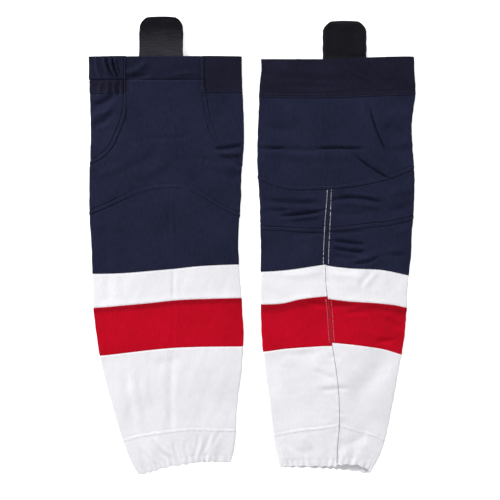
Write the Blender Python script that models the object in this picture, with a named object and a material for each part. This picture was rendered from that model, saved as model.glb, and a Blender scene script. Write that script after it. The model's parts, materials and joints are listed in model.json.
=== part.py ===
"""Pair of ice hockey socks lying flat side by side, with sewn-in hook tabs.

The left sock lies front up and the right sock lies front down. Each sock is a
tube of knitted panels joined by seams that run right round it. A place on the
tube is given by t, s and depth:
  t      runs round the tube: 0 is the middle of the front, -1 and 1 are the
         folded edges, and -2 or 2 is the middle of the back
  s      distance from the mouth, along the sock's middle line
  depth  distance in from the outer face of the cloth
Metres, +Z up, +Y towards the mouths, origin at the middle of the pair's base.
"""
import math
from collections import namedtuple

import bmesh
import bpy
from mathutils import Matrix, Vector

# Whole sock
SOCK_LENGTH = 0.702
MOUTH_WIDTH = 0.260
KNEE_WIDTH = 0.256
CALF_WIDTH = 0.247
LOW_CALF_WIDTH = 0.213
ANKLE_WIDTH = 0.177
HEM_WIDTH = 0.156
PAIR_GAP = 0.033

# Where the widths are taken: the first is from the mouth, the rest are from the hem
KNEE_DROP = 0.250
CALF_RISE = 0.216
LOW_CALF_RISE = 0.121
ANKLE_RISE = 0.025

# How high the flattened tube stands
EDGE_RADIUS = 0.003
LEG_CROWN = 0.010
MOUTH_CROWN = 0.013
CROWN_FALL = 0.080
DOME_POWER = 2.4
EDGE_SHARE = 0.04

# Cloth
KNIT = 0.0010
ELASTIC = 0.0016
SEAM_GAP = 0.0003

# Seams, as distances from the mouth
ELASTIC_DEPTH = 0.062
BELL_HALF = 0.5
BELL_FLARE_DROP = 0.070
BELL_EDGE_DROP = 0.188
BACK_ARC_DROP = 0.221
KNEE_ARC_DROP = 0.221
KNEE_EDGE_DROP = 0.270
KNEE_BACK_DROP = 0.292
FOLD_DROP = 0.362
WHITE_STRIPE = 0.055
RED_STRIPE = 0.082
ANKLE_SEAM_RISE = 0.067
BELL_POWER = 2.5
KNEE_ARC_POWER = 1.7

# Hem elastic and centre back seam
HEM_ELASTIC_WIDTH = 0.008
HEM_ELASTIC_THICKNESS = 0.0008
HEM_TURN = 0.001
BACK_THREAD_WIDTH = 0.008
BACK_THREAD_THICKNESS = 0.0005

# Hook tab
TAB_WIDTH = 0.075
TAB_REACH = 0.0663
TAB_TAPE = 0.0014
TAB_CORNER = 0.011
TAB_SEWN_DEPTH = 0.036
TAB_HINGE_OUT = 0.006
TAB_HINGE_SLACK = 0.0015
HOOK_HEIGHT = 0.0012
HOOK_MARGIN = 0.003
TAB_FLOOR_GAP = 0.0004

# Columns round the tube, as shares of a face
FRONT_COLUMNS = (0.0, 0.17, 0.34)
BELL_COLUMNS = (0.5, 0.51, 0.53, 0.56, 0.60, 0.66, 0.74, 0.85, 0.96, 0.98, 1.0)
BACK_COLUMNS = (0.98, 0.96, 0.80, 0.60, 0.40, 0.20)

NAVY = (0.016, 0.018, 0.042)
ELASTIC_NAVY = (0.012, 0.012, 0.025)
WHITE = (0.80, 0.80, 0.82)
RED = (0.50, 0.004, 0.018)
TAPE_BLACK = (0.018, 0.018, 0.022)
HOOK_BLACK = (0.012, 0.012, 0.016)
THREAD = (0.62, 0.60, 0.56)

Lay = namedtuple("Lay", "name side lean front_up tab_shift")
SOCKS = (
    Lay("left", -1, math.radians(7.6), True, -0.007),
    Lay("right", 1, math.radians(-4.4), False, 0.012),
)


# The sock's middle line and width

def middle(lay, s):
    """Middle line at s: a point, and the direction across the sock.

    It is straight down to the knee, and then an arc towards the other sock.
    """
    x = lay.side * (MOUTH_WIDTH + PAIR_GAP) / 2
    if s <= KNEE_DROP:
        return Vector((x, -s, 0)), Vector((1, 0, 0))
    radius = (SOCK_LENGTH - KNEE_DROP) / lay.lean
    turn = (s - KNEE_DROP) / radius
    point = Vector((x + radius * (1 - math.cos(turn)), -KNEE_DROP - radius * math.sin(turn), 0))
    return point, Vector((math.cos(turn), math.sin(turn), 0))


def width_at(s):
    """Flat width of the sock at s, smooth between the places it is taken at."""
    stations = (
        (0.0, MOUTH_WIDTH),
        (KNEE_DROP, KNEE_WIDTH),
        (SOCK_LENGTH - CALF_RISE, CALF_WIDTH),
        (SOCK_LENGTH - LOW_CALF_RISE, LOW_CALF_WIDTH),
        (SOCK_LENGTH - ANKLE_RISE, ANKLE_WIDTH),
        (SOCK_LENGTH, HEM_WIDTH),
    )
    s = min(max(s, 0.0), SOCK_LENGTH)
    k = 0
    while k < len(stations) - 2 and s > stations[k + 1][0]:
        k += 1

    def slope(i):
        low = stations[max(i - 1, 0)]
        high = stations[min(i + 1, len(stations) - 1)]
        return (high[1] - low[1]) / (high[0] - low[0])

    span = stations[k + 1][0] - stations[k][0]
    f = (s - stations[k][0]) / span
    return (
        (2 * f ** 3 - 3 * f ** 2 + 1) * stations[k][1]
        + (f ** 3 - 2 * f ** 2 + f) * span * slope(k)
        + (3 * f ** 2 - 2 * f ** 3) * stations[k + 1][1]
        + (f ** 3 - f ** 2) * span * slope(k + 1)
    )


def crown_at(s):
    """Height of the tube's middle above the floor."""
    f = min(max(s / CROWN_FALL, 0.0), 1.0)
    return MOUTH_CROWN + (LEG_CROWN - MOUTH_CROWN) * f * f * (3 - 2 * f)


def surface(lay, t, s, depth):
    """Point of the sock at t, s and depth."""
    t = (t + 2) % 4 - 2
    on_front = abs(t) <= 1
    a = t if on_front else math.copysign(2 - abs(t), t)
    on_top = on_front == lay.front_up
    flat = width_at(s) / 2 - EDGE_RADIUS
    reach = abs(a)
    if reach <= 1 - EDGE_SHARE:
        f = reach / (1 - EDGE_SHARE)
        across = flat * f
        rise = crown_at(s) - 2 * EDGE_RADIUS
        height = 2 * EDGE_RADIUS + rise * (1 - f ** DOME_POWER) - depth if on_top else depth
    else:
        turn = (reach - 1 + EDGE_SHARE) / EDGE_SHARE * math.pi / 2
        radius = EDGE_RADIUS - depth
        across = flat + radius * math.sin(turn)
        lift = radius * math.cos(turn)
        height = EDGE_RADIUS + (lift if on_top else -lift)
    point, across_way = middle(lay, s)
    return point + across_way * math.copysign(across, a) + Vector((0, 0, height))


# Seams, each a list of (t, s) at the columns

def ring_columns():
    """t from the middle of the back, over the left edge and the front, to the back."""
    right = list(FRONT_COLUMNS) + list(BELL_COLUMNS) + [2 - a for a in BACK_COLUMNS] + [2.0]
    return [-t for t in reversed(right[1:])] + right


def band_columns():
    """t from the front's right bell seam, round the back, to its left bell seam."""
    half = list(BELL_COLUMNS) + [2 - a for a in BACK_COLUMNS] + [2.0]
    return half + [4 - t for t in reversed(half[:-1])]


def face_reach(t):
    """How far t is from the middle of its face, and whether the face is the front."""
    t = abs((t + 2) % 4 - 2)
    return (t, True) if t <= 1 else (2 - t, False)


def level(drop, columns):
    return [(t, drop) for t in columns]


def thigh_seam(columns):
    """Lower edge of the thigh panel: the bell's flare in front, the upper arc behind."""
    line = []
    for t in columns:
        a, on_front = face_reach(t)
        if on_front:
            x = (a - BELL_HALF) / (1 - BELL_HALF)
            drop = BELL_FLARE_DROP + (BELL_EDGE_DROP - BELL_FLARE_DROP) * math.sqrt(1 - (1 - x) ** 2)
        else:
            drop = BACK_ARC_DROP - (BACK_ARC_DROP - BELL_EDGE_DROP) * a ** BELL_POWER
        line.append((t, drop))
    return line


def bell_top(columns):
    """Upper edge of the knee panel: upper arc, bell seam, and the mouth in between."""
    left = thigh_seam([t for t in columns if t <= -BELL_HALF])
    right = thigh_seam([t for t in columns if t >= BELL_HALF])
    mouth = level(0.0, [t for t in columns if abs(t) <= BELL_HALF])
    return left + mouth + right


def knee_line(columns):
    """Lower edge of the knee panel: the knee arc in front, the lower arc behind."""
    line = []
    for t in columns:
        a, on_front = face_reach(t)
        if on_front:
            drop = KNEE_ARC_DROP + (KNEE_EDGE_DROP - KNEE_ARC_DROP) * a ** KNEE_ARC_POWER
        else:
            drop = KNEE_BACK_DROP - (KNEE_BACK_DROP - KNEE_EDGE_DROP) * a ** 2
        line.append((t, drop))
    return line


def paired(columns):
    """Columns with the bell's two corners doubled, to face bell_top point for point."""
    return sorted(list(columns) + [-BELL_HALF, BELL_HALF])


def set_back(line, side, ends):
    """A seam moved half a seam gap to one side, and in at the panel's ends."""
    half_face = MOUTH_WIDTH / 2
    half_gap = SEAM_GAP / 2
    moved = []
    for i, (t, s) in enumerate(line):
        before = line[max(i - 1, 0)]
        after = line[min(i + 1, len(line) - 1)]
        along = Vector(((after[0] - before[0]) * half_face, after[1] - before[1])).normalized()
        normal = Vector((-along.y, along.x)) * side * half_gap
        moved.append((t + normal.x / half_face, s + normal.y))
    if ends:
        moved[0] = (moved[0][0] + half_gap / half_face, moved[0][1])
        moved[-1] = (moved[-1][0] - half_gap / half_face, moved[-1][1])
    return moved


# Solids

def material(name, colour, roughness):
    made = bpy.data.materials.new(name)
    made.use_nodes = True
    shader = made.node_tree.nodes["Principled BSDF"]
    shader.inputs["Base Color"].default_value = (*colour, 1)
    shader.inputs["Roughness"].default_value = roughness
    shader.inputs["Metallic"].default_value = 0
    return made


def to_object(bm, name, colour, roughness, pivot):
    bmesh.ops.recalc_face_normals(bm, faces=bm.faces)
    mesh = bpy.data.meshes.new(name)
    bm.to_mesh(mesh)
    bm.free()
    made = bpy.data.objects.new(name, mesh)
    made.data.materials.append(material(name, colour, roughness))
    bpy.context.scene.collection.objects.link(made)
    made.parent = pivot
    made.matrix_parent_inverse = Matrix.Translation(-pivot.location)
    return made


def even(rows):
    """Shares of the way down a panel, for that many equal rows."""
    return [k / rows for k in range(rows + 1)]


def cloth(name, lay, upper, lower, shares, depth, thickness, colour, pivot):
    """A panel of cloth between two seams of the same number of points."""
    columns = len(upper) - 1
    rows = len(shares) - 1
    bm = bmesh.new()
    grid = bmesh.ops.create_grid(bm, x_segments=columns, y_segments=rows, size=0.5)
    places = {}
    for vert in grid["verts"]:
        i = round((vert.co.x + 0.5) * columns)
        f = shares[round((0.5 - vert.co.y) * rows)]
        t = upper[i][0] + (lower[i][0] - upper[i][0]) * f
        s = upper[i][1] + (lower[i][1] - upper[i][1]) * f
        places[vert.index] = (t, s)
        vert.co = surface(lay, t, s, depth)
    skin = len(bm.verts)
    bmesh.ops.extrude_face_region(bm, geom=bm.faces[:] + bm.edges[:] + bm.verts[:], use_keep_orig=True)
    bm.verts.ensure_lookup_table()
    for k in range(skin):
        t, s = places[k]
        inner = min(bm.verts[skin:], key=lambda other: (other.co - bm.verts[k].co).length)
        inner.co = surface(lay, t, s, depth + thickness)
    return to_object(bm, name, colour, 0.85, pivot)


def flat_piece(name, outline, low, thickness, place, colour, roughness, pivot):
    """A flat piece from its outline, raised to its thickness and moved to its place."""
    bm = bmesh.new()
    face = bm.faces.new([bm.verts.new((x, y, low)) for x, y in outline])
    raised = bmesh.ops.extrude_face_region(bm, geom=[face], use_keep_orig=True)
    top = [v for v in raised["geom"] if isinstance(v, bmesh.types.BMVert)]
    bmesh.ops.translate(bm, vec=(0, 0, thickness), verts=top)
    bmesh.ops.transform(bm, matrix=place, verts=bm.verts)
    return to_object(bm, name, colour, roughness, pivot)


def tab_outline(half, near, far, corner):
    """Tab seen flat: square at the hinge, with two rounded corners at its free end."""
    points = [(-half, near), (half, near)]
    for k in range(5):
        turn = k * math.pi / 8
        points.append((half - corner + corner * math.cos(turn), far - corner + corner * math.sin(turn)))
    for k in range(5):
        turn = math.pi / 2 + k * math.pi / 8
        points.append((-half + corner + corner * math.cos(turn), far - corner + corner * math.sin(turn)))
    return points


# One sock

def tab_level(lay):
    """Height of the middle of the sewn-in tape, just inside the front's cloth."""
    centre = middle(lay, 0)[0].x + lay.tab_shift
    if not lay.front_up:
        return KNIT + SEAM_GAP + TAB_TAPE / 2
    half = MOUTH_WIDTH / 2 - EDGE_RADIUS
    lowest = 1.0
    for x in (centre - TAB_WIDTH / 2, centre + TAB_WIDTH / 2):
        share = (x - middle(lay, 0)[0].x) / half * (1 - EDGE_SHARE)
        inner = surface(lay, share, TAB_SEWN_DEPTH, KNIT + SEAM_GAP)
        lowest = min(lowest, inner.z)
    return lowest - TAB_TAPE / 2


def fold_height():
    """Height of the half fold's axis: the folded half just clears the mouth's crown."""
    return (LEG_CROWN + MOUTH_CROWN) / 2 + 2 * SEAM_GAP


def empty_at(name, place):
    made = bpy.data.objects.new(name, None)
    made.location = place
    bpy.context.scene.collection.objects.link(made)
    return made


def make_tubes(lay, upper, lower):
    """The knitted panels, the waist elastic, the hem elastic and the back thread."""
    name = lay.name
    ring = ring_columns()
    band = band_columns()
    top = set_back(level(0.0, band), 1, True)
    top = [(t, 0.0) for t, _ in top]
    cloth(name + "_waist_elastic", lay, top, set_back(level(ELASTIC_DEPTH, band), -1, True),
          even(2), 0.0, ELASTIC, ELASTIC_NAVY, upper)
    cloth(name + "_thigh_panel", lay, set_back(level(ELASTIC_DEPTH, band), 1, True),
          set_back(thigh_seam(band), -1, True), even(3), 0.0, KNIT, NAVY, upper)
    bell = set_back(bell_top(ring), 1, True)
    bell = [(t, max(s, 0.0) if s > SEAM_GAP else 0.0) for t, s in bell]
    cloth(name + "_knee_panel", lay, bell, set_back(knee_line(paired(ring)), -1, True),
          even(6), 0.0, KNIT, NAVY, upper)
    drops = [FOLD_DROP, FOLD_DROP + WHITE_STRIPE, FOLD_DROP + WHITE_STRIPE + RED_STRIPE]
    drops += [SOCK_LENGTH - ANKLE_SEAM_RISE, SOCK_LENGTH]
    cloth(name + "_shin_panel", lay, set_back(knee_line(ring), 1, True),
          set_back(level(FOLD_DROP, ring), -1, True), even(2), 0.0, KNIT, NAVY, upper)
    hem_top = SOCK_LENGTH - HEM_TURN - HEM_ELASTIC_WIDTH
    hem_low = SOCK_LENGTH - HEM_TURN
    ankle_rows = [0.0, 0.5]
    ankle_rows += [1 - (SOCK_LENGTH - drop) / ANKLE_SEAM_RISE for drop in (hem_top, hem_low)] + [1.0]
    bands = (("upper_white_stripe", WHITE, even(1)), ("red_stripe", RED, even(1)),
             ("calf_panel", WHITE, even(3)), ("ankle_panel", WHITE, ankle_rows))
    for (part, colour, shares), high, low in zip(bands, drops[:-1], drops[1:]):
        low_edge = set_back(level(low, ring), -1, True)
        if low == SOCK_LENGTH:
            low_edge = [(t, low) for t, _ in low_edge]
        cloth(name + "_" + part, lay, set_back(level(high, ring), 1, True), low_edge,
              shares, 0.0, KNIT, colour, lower)
    inside = KNIT + SEAM_GAP
    cloth(name + "_hem_elastic", lay, set_back(level(hem_top, ring), 1, True),
          set_back(level(hem_low, ring), -1, True), even(1), inside, HEM_ELASTIC_THICKNESS, WHITE, lower)
    half = BACK_THREAD_WIDTH / MOUTH_WIDTH
    across = (2 - half, 2 - half / 2, 2 + half / 2, 2 + half)
    runs = (("upper", BACK_ARC_DROP, FOLD_DROP - SEAM_GAP, upper),
            ("lower", FOLD_DROP + SEAM_GAP, hem_top - SEAM_GAP, lower))
    for part, high, low, pivot in runs:
        cloth(name + "_back_seam_" + part, lay, level(high, across), level(low, across),
              even(3), inside, BACK_THREAD_THICKNESS, THREAD, pivot)


def make_tab(lay, upper, tab, axis):
    """The hook tape: its sewn-in base, its free flap and the field of hooks."""
    name = lay.name
    half = TAB_WIDTH / 2
    base = [(-half, TAB_SEWN_DEPTH), (half, TAB_SEWN_DEPTH),
            (half, -TAB_HINGE_OUT + TAB_HINGE_SLACK), (-half, -TAB_HINGE_OUT + TAB_HINGE_SLACK)]
    base = [(x, -y) for x, y in base]
    place = Matrix.Translation((axis.x, 0, axis.z))
    flat_piece(name + "_tab_base", base, -TAB_TAPE / 2, TAB_TAPE, place, TAPE_BLACK, 0.7, upper)
    reach = TAB_REACH - TAB_HINGE_OUT
    droop = 0.0
    if lay.front_up:
        fall = axis.z - TAB_TAPE / 2 - SEAM_GAP - HOOK_HEIGHT - TAB_FLOOR_GAP
        droop = math.asin(fall / reach)
    place = Matrix.Translation(axis) @ Matrix.Rotation(-droop, 4, "X")
    outline = tab_outline(half, TAB_HINGE_SLACK, reach, TAB_CORNER)
    flat_piece(name + "_tab_tape", outline, -TAB_TAPE / 2, TAB_TAPE, place, TAPE_BLACK, 0.7, tab)
    hooks = tab_outline(half - HOOK_MARGIN, TAB_HINGE_SLACK + HOOK_MARGIN, reach - HOOK_MARGIN,
                        TAB_CORNER - HOOK_MARGIN)
    low = TAB_TAPE / 2 + SEAM_GAP
    if lay.front_up:
        low = -low - HOOK_HEIGHT
    flat_piece(name + "_hook_field", hooks, low, HOOK_HEIGHT, place, HOOK_BLACK, 0.6, tab)


def make_sock(lay):
    fold, _ = middle(lay, FOLD_DROP)
    fold.z = fold_height()
    axis = Vector((middle(lay, 0)[0].x + lay.tab_shift, TAB_HINGE_OUT, tab_level(lay)))
    upper = empty_at(lay.name + "_upper_half", Vector((0, 0, 0)))
    lower = empty_at(lay.name + "_lower_half", fold)
    tab = empty_at(lay.name + "_tab", axis)
    make_tubes(lay, upper, lower)
    make_tab(lay, upper, tab, axis)
    return upper, lower, tab


def centre_pair(pivots):
    """Moves the pair so that the origin is at the middle of its base."""
    bpy.context.view_layer.update()
    ys = []
    xs = []
    for made in bpy.data.objects:
        if made.type == "MESH":
            places = [made.matrix_world @ v.co for v in made.data.vertices]
            ys += [min(p.y for p in places), max(p.y for p in places)]
            xs += [min(p.x for p in places), max(p.x for p in places)]
    shift = Vector(((min(xs) + max(xs)) / 2, (min(ys) + max(ys)) / 2, 0))
    for pivot in pivots:
        pivot.location -= shift
    bpy.context.view_layer.update()


def main():
    for old in list(bpy.data.objects):
        bpy.data.objects.remove(old, do_unlink=True)
    pivots = []
    for lay in SOCKS:
        pivots += make_sock(lay)
    centre_pair(pivots)


main()
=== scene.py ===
"""Looks of a pair of ice hockey socks that lie flat: knitted panels with their
seams, gathers, creases and stitches, and the hook tape tabs.

A place on a sock is given by t, s and depth, as its pattern is cut:
  t      runs round the tube: 0 is the middle of the front, -1 and 1 are the
         folded edges, and -2 or 2 is the seam at the middle of the back
  s      distance from the mouth along the sock's middle line, in metres
  depth  distance in from the outer face of the cloth, in metres
"""
import json
import math
import random

import bmesh
import bpy
import numpy as np
from mathutils import Matrix, Vector


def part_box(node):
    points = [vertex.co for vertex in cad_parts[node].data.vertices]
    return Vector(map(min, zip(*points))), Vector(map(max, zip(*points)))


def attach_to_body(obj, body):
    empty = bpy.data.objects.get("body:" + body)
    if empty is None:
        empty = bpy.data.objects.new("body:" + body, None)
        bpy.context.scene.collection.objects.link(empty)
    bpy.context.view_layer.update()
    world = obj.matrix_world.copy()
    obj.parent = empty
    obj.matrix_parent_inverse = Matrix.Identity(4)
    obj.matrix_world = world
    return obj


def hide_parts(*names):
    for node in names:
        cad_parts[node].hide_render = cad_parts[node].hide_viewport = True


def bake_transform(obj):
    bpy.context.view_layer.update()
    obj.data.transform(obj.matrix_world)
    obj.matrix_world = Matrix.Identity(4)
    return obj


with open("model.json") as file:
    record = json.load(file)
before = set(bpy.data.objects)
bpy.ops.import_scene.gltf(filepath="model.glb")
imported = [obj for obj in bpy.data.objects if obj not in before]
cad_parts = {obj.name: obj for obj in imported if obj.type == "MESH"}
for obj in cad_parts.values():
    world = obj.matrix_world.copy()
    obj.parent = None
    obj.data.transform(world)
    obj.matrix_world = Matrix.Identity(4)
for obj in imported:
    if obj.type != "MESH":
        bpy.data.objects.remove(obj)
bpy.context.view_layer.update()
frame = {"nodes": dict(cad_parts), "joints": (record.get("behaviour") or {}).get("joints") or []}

# Sock, as the pattern is cut
SOCK_LENGTH = 0.702
LEAN_DROP = 0.250
WIDTHS = ((0.0, 0.260), (0.250, 0.256), (0.486, 0.247), (0.581, 0.213), (0.677, 0.177), (0.702, 0.156))
EDGE_SHARE = 0.04
DOME_POWER = 2.4
MOUTH_EDGE, LEG_EDGE, HEM_EDGE = 0.0030, 0.0023, 0.0034
MOUTH_CROWN, LEG_CROWN, HEM_CROWN = 0.0122, 0.0088, 0.0095

# Cloth and how fine its meshes are
KNIT = 0.0008
ELASTIC = 0.0014
COLUMN_STEP = 0.0175
ROW_STEP = 0.0023
SEAM_ROWS = (0.0, 0.0007, 0.0015, 0.0026)
CASING_DEPTH = 0.040
HEM_TUNNEL = 0.010
HEM_ROLL = 0.0012
CREASE_STRENGTH = 2.3
CASING_ROLL = 0.0015
UNDER_GAP = 0.00025
ROUND_STEP = 0.128         # cloth round the tube for a step of 1 in t, in the knit's pattern

# Hook tape
TAPE_WIDTH = 0.075
TAPE_THICKNESS = 0.0013
TAPE_CORNER = 0.0140
TAPE_CORNER_LENGTH = 0.0185
TAPE_COLUMNS, TAPE_ROWS = 50, 90
HOOK_PITCH = 0.0017


class Sock:
    """One sock: where it lies, and the lines its panels are cut and sewn along."""

    def __init__(self, name, lean, front_up, lines, bell_left, bell_right, twist, creases, edges,
                 tab_reach, seed):
        low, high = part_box(name + "_waist_elastic")
        self.name = name
        self.lean = math.radians(lean)
        self.front_up = front_up
        self.middle_x = (low[0] + high[0]) / 2
        self.mouth_y = high[1]
        self.lines = lines
        self.bell_left = bell_left
        self.bell_right = bell_right
        self.twist = twist
        self.creases = creases
        self.edges = edges
        self.tab_reach = tab_reach
        # Unit of below_seam: how far below the upper seam the red stripe's painted shade reaches.
        self.allowance = 0.0058 if front_up else 0.0095
        self.seed = seed
        self.tab = next(j for j in frame["joints"] if j["name"] == name + "_tab_fold")
        self.fold = next(j for j in frame["joints"] if j["name"] == name + "_half_fold")


def smooth_through(points, x):
    """A smooth curve through a few (place, value) points, read at x."""
    px = np.array([p[0] for p in points], float)
    py = np.array([p[1] for p in points], float)
    slope = np.gradient(py, px)
    x = np.clip(np.asarray(x, float), px[0], px[-1])
    k = np.clip(np.searchsorted(px, x, side="right") - 1, 0, len(px) - 2)
    span = px[k + 1] - px[k]
    f = (x - px[k]) / span
    return (
        (2 * f ** 3 - 3 * f ** 2 + 1) * py[k]
        + (f ** 3 - 2 * f ** 2 + f) * span * slope[k]
        + (3 * f ** 2 - 2 * f ** 3) * py[k + 1]
        + (f ** 3 - f ** 2) * span * slope[k + 1]
    )


def ease(x, low, high):
    f = np.clip((x - low) / (high - low), 0, 1)
    return f * f * (3 - 2 * f)


def ripple(x, s, wave, seed, count=9):
    """Soft irregular waves of about one wavelength, between about -1 and 1."""
    draw = random.Random(seed)
    total = np.zeros(np.broadcast(x, s).shape)
    for _ in range(count):
        turn = draw.uniform(0, math.pi)
        reach = 2 * math.pi / (wave * draw.uniform(0.7, 1.6))
        phase = draw.uniform(0, 2 * math.pi)
        total = total + np.sin(reach * (math.cos(turn) * x + math.sin(turn) * s) + phase)
    return total / math.sqrt(count)


# Pattern lines of both socks: (t, s) through each seam, hem and edge

LEFT_LINES = {
    "mouth": ((-2, 0.002), (-1, 0.0005), (0, 0.0), (1, -0.0003), (2, 0.002)),
    "elastic": ((-2, 0.066), (-1, 0.063), (0, 0.0615), (1, 0.0615), (2, 0.066)),
    "arc": ((1, 0.1848), (1.4, 0.209), (2, 0.221), (2.6, 0.207), (3, 0.1815)),
    "knee": ((-2, 0.292), (-1.3, 0.281), (-1, 0.2665), (-0.68, 0.2492), (-0.43, 0.2339), (-0.22, 0.2254),
             (0.06, 0.2212), (0.27, 0.2237), (0.48, 0.2356), (0.69, 0.2527), (1, 0.2722), (1.3, 0.283),
             (2, 0.292)),
    "white_top": ((-2, 0.356), (-1.4, 0.361), (-1, 0.3653), (-0.5, 0.3658), (-0.2, 0.3638), (0.1, 0.3616),
                  (0.42, 0.3585), (0.75, 0.3576), (1, 0.3577), (1.4, 0.359), (2, 0.356)),
    "red_top": ((-2, 0.408), (-1.4, 0.417), (-1, 0.4208), (-0.55, 0.4192), (-0.25, 0.4176), (0.1, 0.4149),
                (0.42, 0.4148), (0.75, 0.4158), (1, 0.4164), (1.4, 0.415), (2, 0.408)),
    "red_bottom": ((-2, 0.489), (-1.4, 0.498), (-1, 0.5004), (-0.6, 0.4988), (-0.3, 0.4970), (0.05, 0.4962),
                   (0.4, 0.4977), (0.72, 0.5003), (1, 0.5026), (1.4, 0.499), (2, 0.489)),
    "ankle": ((-2, 0.630), (-1.4, 0.638), (-1, 0.6425), (-0.73, 0.6390), (-0.5, 0.6373), (-0.14, 0.6361),
              (0.17, 0.6364), (0.56, 0.6413), (1, 0.6470), (1.4, 0.640), (2, 0.630)),
    "hem": ((-2, 0.6930), (-1.4, 0.6958), (-1, 0.7014), (-0.67, 0.6990), (-0.35, 0.6947), (0.1, 0.6940),
            (0.4, 0.6935), (0.72, 0.6966), (1, 0.7006), (1.4, 0.6955), (2, 0.6930)),
}
LEFT_BELL_LEFT = ((0.0, 0.505), (0.062, 0.507), (0.0911, 0.522), (0.1115, 0.560), (0.130, 0.620),
                  (0.1574, 0.730), (0.1727, 0.860), (0.1815, 1.0))
LEFT_BELL_RIGHT = ((0.0, 0.478), (0.055, 0.490), (0.0877, 0.525), (0.1217, 0.580), (0.1455, 0.665),
                   (0.1642, 0.775), (0.1848, 1.0))

RIGHT_LINES = {
    "mouth": ((-2, 0.0053), (-1.5, 0.0053), (-1, 0.0044), (0, 0.0060), (0.8, 0.0020), (1, 0.0002),
              (1.45, 0.0019), (2, 0.0053)),
    "elastic": ((-2, 0.0705), (-1.5, 0.0705), (-1, 0.0690), (-0.5, 0.0670), (0.5, 0.0630), (1, 0.0640),
                (1.45, 0.0673), (2, 0.0705)),
    "arc": ((1, 0.1880), (1.33, 0.2067), (1.58, 0.2152), (1.81, 0.2203), (2, 0.2230), (2.21, 0.2237),
            (2.64, 0.2220), (3, 0.2060)),
    "knee": ((-2, 0.2975), (-1.9, 0.2970), (-1.35, 0.2941), (-1, 0.2892), (-0.7, 0.256), (-0.35, 0.231),
             (0, 0.2212), (0.35, 0.231), (0.7, 0.252), (1, 0.2726), (1.26, 0.2828), (1.56, 0.2880),
             (1.85, 0.2934), (2, 0.2955)),
    "white_top": ((-2, 0.3541), (-1.75, 0.3589), (-1.56, 0.3627), (-1, 0.3690), (0, 0.3620), (1, 0.3703),
                  (1.35, 0.3620), (1.77, 0.3595), (1.95, 0.3566), (2, 0.3552)),
    "red_top": ((-2, 0.4078), (-1.76, 0.4111), (-1.57, 0.4151), (-1.37, 0.4215), (-1, 0.4253), (0, 0.4170),
                (1, 0.4238), (1.19, 0.4198), (1.41, 0.4173), (1.76, 0.4154), (2, 0.4122)),
    "red_bottom": ((-2, 0.4925), (-1.9, 0.4932), (-1.68, 0.4959), (-1.33, 0.5010), (-1, 0.5079), (0, 0.4990),
                   (1, 0.5030), (1.33, 0.4942), (1.5, 0.4917), (1.83, 0.4882), (2, 0.4872)),
    "ankle": ((-2, 0.6244), (-1.79, 0.6309), (-1.41, 0.6388), (-1, 0.6504), (0, 0.6370), (1, 0.6461),
              (1.35, 0.6378), (1.78, 0.6299), (2, 0.6246)),
    "hem": ((-2, 0.6950), (-1.34, 0.6998), (-1, 0.7031), (-0.5, 0.7020), (0, 0.7005), (0.6, 0.7010),
            (1, 0.7018), (1.15, 0.6965), (1.4, 0.6915), (1.7, 0.6905), (2, 0.6935)),
}
RIGHT_BELL_LEFT = ((0.0, 0.500), (0.069, 0.503), (0.105, 0.530), (0.145, 0.620), (0.185, 0.800),
                   (0.2060, 1.0))
RIGHT_BELL_RIGHT = ((0.0, 0.500), (0.064, 0.503), (0.100, 0.530), (0.135, 0.620), (0.172, 0.800),
                    (0.1880, 1.0))
RIGHT_TWIST = ((0.0, -0.10), (0.224, -0.11), (0.292, -0.14), (0.353, -0.15), (0.398, -0.13), (0.42, -0.10),
               (0.4875, -0.04), (0.5365, 0.04), (0.584, 0.11), (0.63, 0.148), (0.66, 0.152), (0.70, 0.19))
NO_TWIST = ((0.0, 0.0), (0.7, 0.0))

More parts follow.
